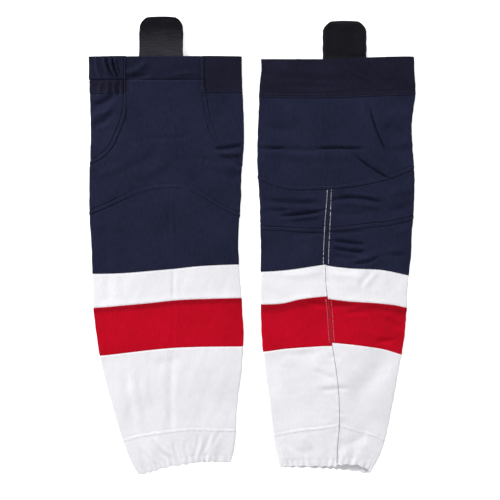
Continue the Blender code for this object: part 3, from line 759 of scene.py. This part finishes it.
def attach(piece, sock, follows):
    """Makes a piece follow one half of the sock; a piece across the half fold only has its transform baked
    in.
    """
    upper, lower = sock.name + "_upper_half", sock.name + "_lower_half"
    if follows == "upper":
        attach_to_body(piece, upper)
    elif follows == "lower":
        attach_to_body(piece, lower)
    else:
        axis = Vector(sock.fold["axis"]).normalized()
        along = Vector((0, 0, 1)).cross(axis).normalized()
        if along.y < 0:
            along = -along
        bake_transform(piece)


# Stitches

def offset_path(t, s, away):
    """A path of t and s moved sideways by away, in metres."""
    half = smooth_through(WIDTHS, s) / 2
    q = t * half
    dq, dp = np.gradient(q), np.gradient(s)
    length = np.maximum(np.hypot(dq, dp), 1e-9)
    q, p = q - away * dp / length, s + away * dq / length
    return q / (smooth_through(WIDTHS, p) / 2), p


def seam_path(sock, name, first=-2.0, last=2.0):
    t = np.linspace(first, last, 700)
    if name == "casing":
        return t, np.full(t.shape, CASING_DEPTH)
    if name == "hem_fold":
        return t, line_at(sock, "hem", t) - HEM_TUNNEL
    if name == "arc":
        return t, smooth_through(sock.lines["arc"], t)
    wrapped = np.where(t > 2, t - 4, t)
    return t, line_at(sock, name, wrapped)


def bell_path(bell, side, top=0.0):
    s = np.linspace(top, bell[-1][0], 300)
    return side * smooth_through(bell, s), s


def stitch_places(sock, t, s, pitch, lift, uneven, seed):
    """Middle, along, across and out vectors of every stitch on a path."""
    places = surface(sock, t, s, np.full(t.shape, -lift))
    walked = np.concatenate([[0], np.cumsum(np.linalg.norm(np.diff(places, axis=0), axis=1))])
    count = max(2, int(walked[-1] / pitch))
    at = (np.arange(count) + 0.5) / count * walked[-1]
    draw = np.random.default_rng(seed)
    at = np.clip(at + draw.normal(0, uneven * pitch, count), 0, walked[-1])
    pick_t, pick_s = np.interp(at, walked, t), np.interp(at, walked, s)
    ahead_t, ahead_s = np.interp(at + pitch / 3, walked, t), np.interp(at + pitch / 3, walked, s)
    behind_t, behind_s = np.interp(at - pitch / 3, walked, t), np.interp(at - pitch / 3, walked, s)
    deep = np.full(count, -lift)
    here = surface(sock, pick_t, pick_s, deep)
    along = surface(sock, ahead_t, ahead_s, deep) - surface(sock, behind_t, behind_s, deep)
    along /= np.maximum(np.linalg.norm(along, axis=1, keepdims=True), 1e-9)
    right = surface(sock, pick_t + 0.01, pick_s, deep) - surface(sock, pick_t - 0.01, pick_s, deep)
    down = surface(sock, pick_t, pick_s + 0.001, deep) - surface(sock, pick_t, pick_s - 0.001, deep)
    out = np.cross(right, down) * (-1 if sock.front_up else 1)
    out /= np.maximum(np.linalg.norm(out, axis=1, keepdims=True), 1e-9)
    across = np.cross(out, along)
    across /= np.maximum(np.linalg.norm(across, axis=1, keepdims=True), 1e-9)
    return here, along, across, out


def sew(name, sock, rows, material, follows, nodes=()):
    """One piece with all its stitches.

    A row is a path, pitch, length, width, height, slant and unevenness.
    """
    whole = bmesh.new()
    batch = bmesh.new()
    spare = bpy.data.meshes.new("spare")
    waiting = 0
    for k, (path, pitch, length, wide, high, slant, uneven) in enumerate(rows):
        t, s = path
        places = stitch_places(sock, t, s, pitch, high * 0.25, uneven, sock.seed * 100 + k)
        draw = random.Random(sock.seed * 50 + k)
        for here, along, across, out in zip(*(map(Vector, v) for v in places)):
            turn = slant + draw.gauss(0, uneven)
            forward = along * math.cos(turn) + across * math.sin(turn)
            side = out.cross(forward).normalized()
            size = length * (1 + draw.gauss(0, uneven))
            shape = Matrix((forward * size / 2, side * wide / 2, out * high / 2)).transposed().to_4x4()
            here.z = max(here.z, sum(abs(v) for v in shape[2][:3]))
            shape.translation = here
            bmesh.ops.create_uvsphere(batch, u_segments=6, v_segments=4, radius=1, matrix=shape
                                      @ Matrix.Rotation(math.pi / 2, 4, "Y"))
            waiting += 1
            if waiting == 40:
                batch.to_mesh(spare)
                whole.from_mesh(spare)
                batch.clear()
                waiting = 0
    batch.to_mesh(spare)
    whole.from_mesh(spare)
    batch.free()
    bpy.data.meshes.remove(spare)
    mesh = bpy.data.meshes.new(name)
    whole.to_mesh(mesh)
    whole.free()
    mesh.shade_smooth()
    mesh.materials.append(material)
    piece = add_object(name, mesh)
    if nodes:
        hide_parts(*nodes)
    attach(piece, sock, follows)


def twin(path, apart, *stitch):
    t, s = path
    return [(offset_path(t, s, apart / 2),) + stitch, (offset_path(t, s, -apart / 2),) + stitch]


def sew_seams(sock, finish):
    """Every visible row of stitches of one sock."""
    tonal = (0.0030, 0.0026, 0.0009, 0.0005, 0.0, 0.06)
    left_bell = bell_path(sock.bell_left, -1, 0.002)
    right_bell = bell_path(sock.bell_right, 1, 0.002)
    from_bell = sock.bell_right[1][1]
    to_bell = 4 - sock.bell_left[1][1]
    rows = twin(left_bell, 0.0052, *tonal) + twin(right_bell, 0.0052, *tonal)
    rows += twin(seam_path(sock, "knee"), 0.0052, *tonal)
    rows += twin(seam_path(sock, "arc", 1.0, 3.0), 0.0052, *tonal)
    casing = seam_path(sock, "casing", -0.98 if sock.front_up else -0.505, 0.48)
    rows += [(casing, 0.0026, 0.0021, 0.0008, 0.0005, 0.0, 0.05)]
    rows += twin(offset_path(*seam_path(sock, "elastic", from_bell, to_bell), -0.0030), 0.0045,
                 0.0028, 0.0023, 0.0008, 0.0004, 0.0, 0.05)
    sew(sock.name + "_navy_seam_stitches", sock, rows, finish["navy_thread"], "upper")

    cover = [((t, s), 0.0028, 0.0030, 0.0005, 0.0004, 0.6, 0.12)
             for t, s in (left_bell, right_bell, seam_path(sock, "knee"), seam_path(sock, "arc", 1.0, 3.0))]
    sew(sock.name + "_navy_seam_cover", sock, cover, finish["navy_thread"], "upper")

    fine = (0.0024, 0.0019, 0.0005, 0.0003, 0.2, 0.08)
    at_fold = [(offset_path(*seam_path(sock, "white_top"), 0.0006),) + fine]
    sew(sock.name + "_first_stripe_stitches", sock, at_fold, finish["navy_thread"], "fold")
    lower = [(offset_path(*seam_path(sock, "red_top"), 0.0004),) + fine]
    lower += [(offset_path(*seam_path(sock, "red_bottom"), 0.0004),) + fine]
    lower += twin(seam_path(sock, "ankle"), 0.0044, 0.0027, 0.0022, 0.0007, 0.0004, 0.0, 0.06)
    lower += [(seam_path(sock, "hem_fold"), 0.0026, 0.0021, 0.0007, 0.0004, 0.0, 0.06)]
    sew(sock.name + "_white_seam_stitches", sock, lower, finish["white_thread"], "lower")
    # A row of grey thread beside the ankle seam: painted shadow, a dark line standing in for the shade in the
    # seam's groove.
    t, s = seam_path(sock, "ankle")
    shaded = [(offset_path(t, s, 0.0026), 0.0024, 0.0022, 0.0008, 0.0004, 0.0, 0.10)]
    sew(sock.name + "_ankle_seam_stitches", sock, shaded, finish["pale_thread"], "lower")
    back_seam(sock, finish)


def back_path(s0, s1, away):
    s = np.linspace(s0, s1, 500)
    half = smooth_through(WIDTHS, s) / 2
    return 2 + away / half, s


def back_seam(sock, finish):
    """Cover stitches down the middle of the back: two thread rows that show on the dark cloth."""
    top = float(smooth_through(sock.lines["arc"], 2.0)) + 0.004
    fold = float(line_at(sock, "white_top", np.array(2.0)))
    bright = (0.0036, 0.0031, 0.0012, 0.0007, 0.10, 0.20)
    rows = []
    for away in (-1, 1):
        t, s = back_path(top, fold - 0.001, away * 0.0040)
        spread = 0.0034 + 0.0009 * ease(s, top, 0.292)
        t = 2 + away * spread / (smooth_through(WIDTHS, s) / 2)
        rows.append(((t, s),) + bright)
    sew(sock.name + "_back_seam_upper_thread", sock, rows, finish["seam_thread"], "fold",
        [sock.name + "_back_seam_upper"])
    red_top = float(line_at(sock, "red_top", np.array(2.0)))
    red_bottom = float(line_at(sock, "red_bottom", np.array(2.0)))
    low = [(back_path(red_top, red_bottom, away * 0.0042), 0.0034, 0.0028, 0.0009, 0.0006, 0.1, 0.14)
           for away in (-1, 1)]
    sew(sock.name + "_back_seam_lower_thread", sock, low, finish["pink_thread"], "lower",
        [sock.name + "_back_seam_lower"])
    # Dark grey rows down the back seam, partly thread and partly painted shadow: along the white cloth they
    # stand in for the shade in the seam's groove, and the short zigzag near the ankle seam is exposed
    # stitching.
    plain = [(back_path(fold + 0.002, red_top - 0.001, 0.0), 0.0021, 0.0024, 0.0009, 0.0005, 0.0, 0.1)]
    plain += [(back_path(red_top, red_bottom, 0.0), 0.0011, 0.0052, 0.0009, 0.0004, 1.5, 0.08)]
    plain += [(back_path(red_bottom + 0.001, 0.690, 0.0), 0.0021, 0.0024, 0.0009, 0.0005, 0.0, 0.1)]
    plain += [(back_path(0.620, 0.634, 0.0), 0.0030, 0.0042, 0.0010, 0.0006, 1.1, 0.2)]
    sew(sock.name + "_back_seam_dark_thread", sock, plain, finish["grey_thread"], "fold")


def hem_elastic(sock, finish):
    """The narrow elastic inside the hem's tunnel."""
    ring = [k * 0.05 for k in range(-40, 41)]
    high = [(t, float(line_at(sock, "hem", np.array(t))) - 0.0090) for t in ring]
    low = [(t, s + 0.0078) for t, s in high]
    name = sock.name + "_hem_elastic"
    piece, _ = cloth_panel(name + "_band", sock, high, low, 0.0006, finish["white_elastic"], None, 0.0009)
    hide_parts(name)
    attach(piece, sock, "lower")


# Hook tape tabs

def bend_at_hinge(piece):
    """Bakes a tab piece's transform into its mesh."""
    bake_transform(piece)


def tape_height(sock, y):
    """Middle of the tape's thickness along its length, flat in the casing and then on its own."""
    base_low, base_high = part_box(sock.name + "_tab_base")
    flap_low, flap_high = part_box(sock.name + "_tab_tape")
    level = (base_low.z + base_high.z) / 2
    hinge = sock.tab["pos_m"][1]
    fall = (level - flap_low.z - 0.0007) / (flap_high.y - hinge)
    past = np.maximum(y - hinge, 0)
    soft = past ** 2 / (past + 0.004)
    length = flap_high.y - hinge
    return level - fall * soft * length / (length ** 2 / (length + 0.004))


def corner_pull(y, end):
    """How much narrower each side of the tape is near its rounded end."""
    f = np.clip((y - end + TAPE_CORNER_LENGTH) / TAPE_CORNER_LENGTH, 0, 1)
    return TAPE_CORNER * (1 - (1 - f ** 1.45) ** (1 / 1.45))


def tape_strip(sock, finish):
    """The tape, sewn into the casing at one end and free at the other, with round corners."""
    base_low, base_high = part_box(sock.name + "_tab_base")
    flap_low, flap_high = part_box(sock.name + "_tab_tape")
    mesh, co = grid_sheet(sock.name + "_tab", TAPE_COLUMNS, TAPE_ROWS)
    share = co[:, 1] + 0.5
    near = np.where(share > 0.8, 0.8 + 0.2 * np.sin((share - 0.8) / 0.2 * math.pi / 2), share)
    end = flap_high.y + sock.tab_reach
    y = base_low.y + (end - base_low.y) * near
    half = (flap_high.x - flap_low.x) / 2 - corner_pull(y, end)
    middle_x = (flap_low.x + flap_high.x) / 2
    y = y - 0.0012 * (co[:, 0] * 2) ** 2 * ease(y, end - 0.03, end)
    along_edge = 0.0003 * ripple(y * 0, y, 0.02, sock.seed + 8, 4)
    x = middle_x + co[:, 0] * 2 * (half + along_edge * np.minimum(half / 0.03, 1) - 0.0002)
    waves = 0.00018 * ripple(x, y, 0.035, sock.seed + 9, 4)
    z = tape_height(sock, y) + waves * ease(y, flap_low.y, flap_low.y + 0.02)
    s = np.clip(sock.mouth_y - y, 0.002, 0.05)
    t = (x - sock.middle_x) / (smooth_through(WIDTHS, s) / 2)
    inside = surface(sock, t, s, np.full(s.shape, 0.0015))[:, 2]
    sewn = 1 - ease(y, sock.mouth_y - 0.004, flap_low.y + 0.002)
    z = z + (inside - z) * sewn
    mesh.vertices.foreach_set("co", np.stack([x, y, z], axis=1).ravel())
    map_cloth(mesh, x - middle_x, y - base_low.y)
    look = finish["tab_webbing" if sock.front_up else "tab_ground"]
    piece = finish_cloth(sock.name + "_tab_strip", mesh, TAPE_THICKNESS, look, False, 0)
    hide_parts(sock.name + "_tab_base", sock.name + "_tab_tape")
    bend_at_hinge(piece)


def hook_template():
    """Two small nylon hooks that curl opposite ways, standing on z = 0."""
    bm = bmesh.new()
    for side, x, y in ((1, 0.0, 0.0), (-1, 0.00085, 0.00085)):
        made = bmesh.ops.create_circle(bm, cap_ends=True, segments=4, radius=0.00017)
        bmesh.ops.translate(bm, verts=made["verts"], vec=(x, y, 0))
        face = next(f for f in made["verts"][0].link_faces)
        up = bmesh.ops.extrude_face_region(bm, geom=[face])["geom"]
        tip = [g for g in up if isinstance(g, bmesh.types.BMVert)]
        bmesh.ops.translate(bm, verts=tip, vec=(0, 0, 0.00062))
        bm.faces.remove(face)
        top = [g for g in up if isinstance(g, bmesh.types.BMFace)]
        bmesh.ops.spin(bm, geom=top, cent=(x + side * 0.00030, y, 0.00062), axis=(0, 1, 0),
                       angle=side * math.radians(190), steps=4, use_duplicate=False)
    bmesh.ops.recalc_face_normals(bm, faces=bm.faces)
    mesh = bpy.data.meshes.new("hook_pair")
    bm.to_mesh(mesh)
    bm.free()
    return mesh


def hook_field(sock, finish):
    """Rows of hooks on the tape's hook side."""
    name = sock.name + "_hook_field"
    low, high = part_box(name)
    flap_low, flap_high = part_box(sock.name + "_tab_tape")
    hinge = sock.tab["pos_m"][1]
    columns = int((high.x - low.x - 0.001) / HOOK_PITCH)
    end = flap_high.y + sock.tab_reach
    y_start = hinge - 0.0036
    rows = int((end - 0.0030 - y_start) / HOOK_PITCH)
    piece = add_object(name + "_hooks", hook_template())
    for count, way in ((columns, (HOOK_PITCH, 0, 0)), (rows, (0, HOOK_PITCH, 0))):
        repeat = piece.modifiers.new("repeat", "ARRAY")
        repeat.count = count
        repeat.use_relative_offset = False
        repeat.use_constant_offset = True
        repeat.constant_offset_displace = way
    mesh = apply_modifiers(piece, name + "_hooks")
    co = vertex_places(mesh)
    wide = columns * HOOK_PITCH
    x = (low.x + high.x) / 2 - wide / 2 + co[:, 0] + 0.0003
    y = y_start + co[:, 1]
    facing = -1 if (low.z + high.z) / 2 < float(tape_height(sock, np.array((low.y + high.y) / 2))) else 1
    pull = corner_pull(y, end - 0.001) / (TAPE_WIDTH / 2)
    middle_x = (low.x + high.x) / 2
    x = middle_x + (x - middle_x) * (1 - pull)
    z = tape_height(sock, y) + facing * (TAPE_THICKNESS / 2 - 0.0001 + co[:, 2])
    mesh.vertices.foreach_set("co", np.stack([x, y, z], axis=1).ravel())
    if facing < 0:
        mesh.flip_normals()
    mesh.shade_smooth()
    mesh.materials.clear()
    mesh.materials.append(finish["hook_nylon"])
    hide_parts(name)
    bend_at_hinge(piece)


# Finishes

def socket(group, kind, name, way="INPUT", value=None):
    made = group.interface.new_socket(name=name, in_out=way, socket_type=kind)
    if value is not None:
        made.default_value = value
    return made


class Nodes:
    """Short ways to add and join nodes in one tree."""

    def __init__(self, tree):
        self.tree = tree

    def add(self, kind, **values):
        node = self.tree.nodes.new("ShaderNode" + kind)
        for key, value in values.items():
            setattr(node, key, value)
        return node

    def join(self, out, into):
        self.tree.links.new(out, into)

    def put(self, value, into):
        if isinstance(value, bpy.types.NodeSocket):
            self.join(value, into)
        else:
            into.default_value = value

    def math(self, operation, a, b=0.0, c=0.0):
        node = self.add("Math", operation=operation)
        self.put(a, node.inputs[0])
        self.put(b, node.inputs[1])
        self.put(c, node.inputs[2])
        return node.outputs[0]

    def noise(self, where, scale, detail=2.0, rough=0.5, stretch=None):
        node = self.add("TexNoise")
        node.inputs["Detail"].default_value = detail
        node.inputs["Roughness"].default_value = rough
        self.put(scale, node.inputs["Scale"])
        if stretch:
            shift = self.add("Mapping")
            shift.inputs["Scale"].default_value = stretch
            self.join(where, shift.inputs["Vector"])
            where = shift.outputs[0]
        self.join(where, node.inputs["Vector"])
        return node.outputs["Fac"]

    def raise_surface(self, height, strength, distance, shader):
        raised = self.add("Bump")
        raised.inputs["Strength"].default_value = strength
        raised.inputs["Distance"].default_value = distance
        self.join(height, raised.inputs["Height"])
        self.join(raised.outputs[0], shader.inputs["Normal"])

    def span(self, value, low, high, to_low, to_high):
        node = self.add("MapRange")
        for at, item in enumerate((value, low, high, to_low, to_high)):
            self.put(item, node.inputs[at])
        return node.outputs[0]


def knit_group():
    """Jersey loops on a UV map in metres: V-shaped stitches in columns, as a height and a shade."""
    group = bpy.data.node_groups.new("knit_loops", "ShaderNodeTree")
    socket(group, "NodeSocketVector", "Flat Place")
    socket(group, "NodeSocketFloat", "Column Width", value=0.0011)
    socket(group, "NodeSocketFloat", "Loop Height", value=0.0009)
    socket(group, "NodeSocketFloat", "Height", "OUTPUT")
    socket(group, "NodeSocketFloat", "Shade", "OUTPUT")
    n = Nodes(group)
    into, out = group.nodes.new("NodeGroupInput"), group.nodes.new("NodeGroupOutput")
    split = n.add("SeparateXYZ")
    n.join(into.outputs["Flat Place"], split.inputs[0])
    drift = n.noise(into.outputs["Flat Place"], 60.0, 1.0)
    u = n.math("DIVIDE", split.outputs[0], into.outputs["Column Width"])
    u = n.math("MULTIPLY_ADD", drift, 0.8, u)
    v = n.math("DIVIDE", split.outputs[1], into.outputs["Loop Height"])
    column = n.math("ABSOLUTE", n.math("SUBTRACT", n.math("FRACT", u), 0.5))
    leaned = n.math("MULTIPLY_ADD", column, 1.4, v)
    loop = n.math("SINE", n.math("MULTIPLY", leaned, 2 * math.pi))
    leg = n.math("SINE", n.math("MULTIPLY", column, 2 * math.pi))
    body = n.math("MULTIPLY_ADD", loop, 0.22, n.math("MULTIPLY", leg, 0.8))
    n.join(body, out.inputs["Height"])
    n.join(n.span(body, -0.1, 0.9, 0.0, 1.0), out.inputs["Shade"])
    return group


def cloth_tone_group():
    """Uneven dye and fine fuzz: mixes two colours by soft patches, specks and the knit's own shade."""
    group = bpy.data.node_groups.new("cloth_tone", "ShaderNodeTree")
    socket(group, "NodeSocketVector", "Place")
    socket(group, "NodeSocketVector", "Grain Place")
    socket(group, "NodeSocketColor", "Deep Colour")
    socket(group, "NodeSocketColor", "Light Colour")
    socket(group, "NodeSocketFloat", "Knit Shade", value=0.5)
    socket(group, "NodeSocketFloat", "Fuzz", value=0.3)
    socket(group, "NodeSocketColor", "Colour", "OUTPUT")
    socket(group, "NodeSocketFloat", "Roughness", "OUTPUT")
    n = Nodes(group)
    into, out = group.nodes.new("NodeGroupInput"), group.nodes.new("NodeGroupOutput")
    patches = n.noise(into.outputs["Place"], 18.0, 3.0)
    specks = n.noise(into.outputs["Place"], 900.0, 2.0, 0.7)
    streaks = n.noise(into.outputs["Grain Place"], 130.0, 2.0, 0.6)
    amount = n.math("MULTIPLY_ADD", n.math("SUBTRACT", patches, 0.5), 0.9, 0.35)
    amount = n.math("MULTIPLY_ADD", n.math("SUBTRACT", streaks, 0.5), 1.0, amount)
    amount = n.math("MULTIPLY_ADD", n.math("SUBTRACT", specks, 0.5), into.outputs["Fuzz"], amount)
    amount = n.math("MULTIPLY_ADD", into.outputs["Knit Shade"], 0.3, amount)
    mix = n.add("Mix", data_type="RGBA")
    mix.clamp_factor = True
    n.join(amount, mix.inputs["Factor"])
    n.join(into.outputs["Deep Colour"], mix.inputs[6])
    n.join(into.outputs["Light Colour"], mix.inputs[7])
    n.join(mix.outputs[2], out.inputs["Colour"])
    n.join(n.span(specks, 0.3, 0.7, 0.78, 0.95), out.inputs["Roughness"])
    return group


def rib_group():
    """Elastic's lengthwise cords and cross threads, or a woven tape's picks, on a UV map in metres."""
    group = bpy.data.node_groups.new("woven_ribs", "ShaderNodeTree")
    socket(group, "NodeSocketVector", "Flat Place")
    socket(group, "NodeSocketFloat", "Rib", value=0.0016)
    socket(group, "NodeSocketFloat", "Thread", value=0.0007)
    socket(group, "NodeSocketFloat", "Height", "OUTPUT")
    socket(group, "NodeSocketFloat", "Shade", "OUTPUT")
    n = Nodes(group)
    into, out = group.nodes.new("NodeGroupInput"), group.nodes.new("NodeGroupOutput")
    split = n.add("SeparateXYZ")
    n.join(into.outputs["Flat Place"], split.inputs[0])
    rib = n.math("MULTIPLY", n.math("DIVIDE", split.outputs[1], into.outputs["Rib"]), math.pi)
    rib = n.math("ABSOLUTE", n.math("SINE", rib))
    cross = n.math("MULTIPLY", n.math("DIVIDE", split.outputs[0], into.outputs["Thread"]), math.pi)
    cross = n.math("ABSOLUTE", n.math("SINE", cross))
    uneven = n.noise(into.outputs["Flat Place"], 500.0, 2.0)
    body = n.math("MULTIPLY_ADD", cross, 0.35, n.math("MULTIPLY", rib, 0.65))
    body = n.math("MULTIPLY_ADD", n.math("SUBTRACT", uneven, 0.5), 0.3, body)
    n.join(body, out.inputs["Height"])
    n.join(body, out.inputs["Shade"])
    return group


def new_material(name):
    """A material, the short ways into its nodes, and its shader."""
    material = bpy.data.materials.new(name)
    material.use_nodes = True
    return material, Nodes(material.node_tree), material.node_tree.nodes["Principled BSDF"]


def cloth_finish(name, pattern, sizes, deep, light, depth, groups, sheen, sheen_tint, fuzz=0.3,
                 bump=0.6, fade=None, grain=(2.4, 0.7, 1.0), painted_seam_shade=None):
    """A cloth material: its knit or weave, its uneven colour, and a soft sheen.

    fade, a painted shade, darkens a tape towards its free end. The last argument is how dark the painted
    shade makes the cloth just below its upper seam; further down the cloth is painted a little lighter.
    """
    material, n, shader = new_material(name)
    flat = n.add("UVMap", uv_map="UVMap").outputs[0]
    place = n.add("TexCoord").outputs["Object"]
    weave = n.add("Group", node_tree=groups[pattern])
    n.join(flat, weave.inputs["Flat Place"])
    weave.inputs[1].default_value = sizes[0]
    weave.inputs[2].default_value = sizes[1]
    tone = n.add("Group", node_tree=groups["tone"])
    n.join(place, tone.inputs["Place"])
    stretched = n.add("Mapping")
    stretched.inputs["Scale"].default_value = grain
    n.join(place, stretched.inputs["Vector"])
    n.join(stretched.outputs[0], tone.inputs["Grain Place"])
    tone.inputs["Deep Colour"].default_value = (*deep, 1)
    tone.inputs["Light Colour"].default_value = (*light, 1)
    tone.inputs["Fuzz"].default_value = fuzz
    shade = weave.outputs["Shade"]
    if fade:
        # Painted shade: the tape is painted darker towards its free end, where it droops.
        split = n.add("SeparateXYZ")
        n.join(flat, split.inputs[0])
        shade = n.math("ADD", shade, n.span(split.outputs[1], fade[0], fade[1], 0.8, -2.3))
        # The tape is also painted darker along both long edges.
        side = n.math("ABSOLUTE", split.outputs[0])
        shade = n.math("ADD", shade, n.span(side, 0.0345, 0.0368, 0.0, -1.4))
    n.join(shade, tone.inputs["Knit Shade"])
    colour = tone.outputs["Colour"]
    # Painted shade: darker just below the upper seam, and a little lighter further down.
    if painted_seam_shade:
        below = n.add("Attribute", attribute_name="below_seam").outputs["Fac"]
        bright = n.span(below, 1.0, 1.9, painted_seam_shade, 1.0)
        shaded = n.add("VectorMath", operation="SCALE")
        n.join(colour, shaded.inputs[0])
        n.join(n.math("MULTIPLY", bright, n.span(below, 2.0, 9.0, 1.0, 1.05)), shaded.inputs["Scale"])
        colour = shaded.outputs[0]
    n.join(colour, shader.inputs["Base Color"])
    n.join(tone.outputs["Roughness"], shader.inputs["Roughness"])
    fine = n.noise(place, 420.0, 3.0, 0.7)
    height = n.math("MULTIPLY_ADD", fine, 0.5, weave.outputs["Height"])
    n.raise_surface(height, bump, depth, shader)
    shader.inputs["Sheen Weight"].default_value = sheen
    shader.inputs["Sheen Roughness"].default_value = 0.45
    shader.inputs["Sheen Tint"].default_value = (*sheen_tint, 1)
    shader.inputs["Specular IOR Level"].default_value = 0.10
    return material


def thread_finish(name, deep, light, rough=0.6, shine=0.12):
    material, n, shader = new_material(name)
    place = n.add("TexCoord").outputs["Object"]
    twist = n.noise(place, 1400.0, 2.0)
    mix = n.add("Mix", data_type="RGBA")
    n.join(n.span(twist, 0.35, 0.65, 0.0, 1.0), mix.inputs["Factor"])
    mix.inputs[6].default_value = (*deep, 1)
    mix.inputs[7].default_value = (*light, 1)
    n.join(mix.outputs[2], shader.inputs["Base Color"])
    n.join(n.span(twist, 0.3, 0.7, rough - 0.1, rough + 0.15), shader.inputs["Roughness"])
    shader.inputs["Specular IOR Level"].default_value = shine
    n.raise_surface(twist, 0.4, 0.0001, shader)
    return material


def mix_finishes():
    groups = {"knit": knit_group(), "rib": rib_group(), "tone": cloth_tone_group()}
    return {
        "navy_knit": cloth_finish("navy_knit", "knit", (0.0011, 0.0009), (0.0078, 0.0094, 0.0288),
                                  (0.0210, 0.0236, 0.0580), 0.00040, groups, 0.03, (0.55, 0.6, 0.9),
                                  1.1, 0.9),
        # A darker copy of the navy knit: painted shade for the casing at the mouth.
        "navy_casing": cloth_finish("navy_casing", "knit", (0.0011, 0.0009), (0.0063, 0.0076, 0.0220),
                                    (0.0162, 0.0184, 0.0440), 0.00040, groups, 0.03, (0.55, 0.6, 0.9),
                                    1.1, 0.9),
        "navy_elastic": cloth_finish("navy_elastic", "rib", (0.0019, 0.0009), (0.0050, 0.0048, 0.0140),
                                     (0.0120, 0.0115, 0.0280), 0.00040, groups, 0.03, (0.6, 0.6, 0.8),
                                     0.6, 0.8),
        "white_knit": cloth_finish("white_knit", "knit", (0.0011, 0.0009), (0.80, 0.792, 0.835),
                                   (0.905, 0.895, 0.932), 0.00024, groups, 0.05, (1, 1, 1), 0.35, 0.6),
        # Red knit, painted darker just below its upper seam (painted shade).
        "red_knit": cloth_finish("red_knit", "knit", (0.0011, 0.0009), (0.43, 0.0, 0.0080),
                                 (0.60, 0.0008, 0.0200), 0.00030, groups, 0.0, (1, 0.6, 0.6), 0.6, 0.7,
                                 painted_seam_shade=0.72),
        "white_elastic": cloth_finish("white_elastic", "rib", (0.0012, 0.0008), (0.70, 0.70, 0.70),
                                      (0.82, 0.82, 0.82), 0.0003, groups, 0.05, (1, 1, 1)),
        "tab_webbing": cloth_finish("tab_webbing", "rib", (0.0026, 0.0011), (0.0045, 0.0040, 0.0065),
                                    (0.0310, 0.0300, 0.0375), 0.00055, groups, 0.0, (0.8, 0.8, 0.9), 0.9, 0.9,
                                    (0.046, 0.092), (0.4, 3.0, 1.0)),
        "tab_ground": cloth_finish("tab_ground", "rib", (0.0026, 0.0011), (0.0055, 0.0050, 0.0075),
                                   (0.0190, 0.0182, 0.0240), 0.00055, groups, 0.0, (0.8, 0.8, 0.9), 0.9, 0.9),
        # Navy thread painted lighter than the cloth: partly the thread's own colour, partly a painted
        # highlight along the stitched seams.
        "navy_thread": thread_finish("navy_thread", (0.014, 0.017, 0.038), (0.042, 0.047, 0.088)),
        "white_thread": thread_finish("white_thread", (0.72, 0.72, 0.74), (0.86, 0.86, 0.87)),
        # Grey thread for the ankle seam's painted shadow line.
        "pale_thread": thread_finish("pale_thread", (0.52, 0.52, 0.56), (0.70, 0.70, 0.74)),
        # Dark grey thread, partly painted shadow in the back seam's groove.
        "grey_thread": thread_finish("grey_thread", (0.020, 0.020, 0.032), (0.075, 0.070, 0.090)),
        "pink_thread": thread_finish("pink_thread", (0.30, 0.10, 0.12), (0.60, 0.28, 0.32)),
        "seam_thread": thread_finish("seam_thread", (0.40, 0.40, 0.42), (0.68, 0.68, 0.68)),
        "hook_nylon": thread_finish("hook_nylon", (0.0065, 0.0062, 0.0085), (0.0120, 0.0115, 0.0150),
                                    0.42, 0.22),
    }


# Floor, light and camera

def set_stage():
    bpy.ops.mesh.primitive_plane_add(size=12, location=(0, 0, -0.0004))
    floor = bpy.context.object
    floor.name = "floor"
    paper, _, shader = new_material("pale_paper")
    shader.inputs["Base Color"].default_value = (0.9, 0.9, 0.9, 1)
    shader.inputs["Roughness"].default_value = 0.9
    shader.inputs["Emission Color"].default_value = (1, 1, 1, 1)
    shader.inputs["Emission Strength"].default_value = 0.60
    floor.data.materials.append(paper)

    world = bpy.data.worlds.new("studio")
    bpy.context.scene.world = world
    world.use_nodes = True
    back = world.node_tree.nodes["Background"]
    back.inputs["Color"].default_value = (1, 1, 1, 1)
    back.inputs["Strength"].default_value = 0.52

    def lamp(name, place, size, power):
        light = bpy.data.lights.new(name, "AREA")
        light.shape = "DISK"
        light.size = size
        light.energy = power
        lit = add_object(name, light)
        lit.location = place
        lit.rotation_euler = (Vector((0, 0, 0)) - Vector(place)).to_track_quat("-Z", "Y").to_euler()

    lamp("key", (-2.6, 3.0, 2.2), 1.2, 204)
    lamp("fill", (1.6, -0.8, 1.9), 1.6, 9)

    camera = bpy.data.cameras.new("camera")
    camera.lens = 100
    camera.sensor_width = 36
    seen = add_object("camera", camera)
    seen.location = (-0.00255, -0.0068, 0.850 * 100 / 36 + 0.006)
    bpy.context.scene.camera = seen
    bpy.context.scene.view_settings.view_transform = "Standard"


finish = mix_finishes()
for each in SOCKS:
    sew_sock(each, finish)
    sew_seams(each, finish)
    hem_elastic(each, finish)
    tape_strip(each, finish)
    hook_field(each, finish)
set_stage()
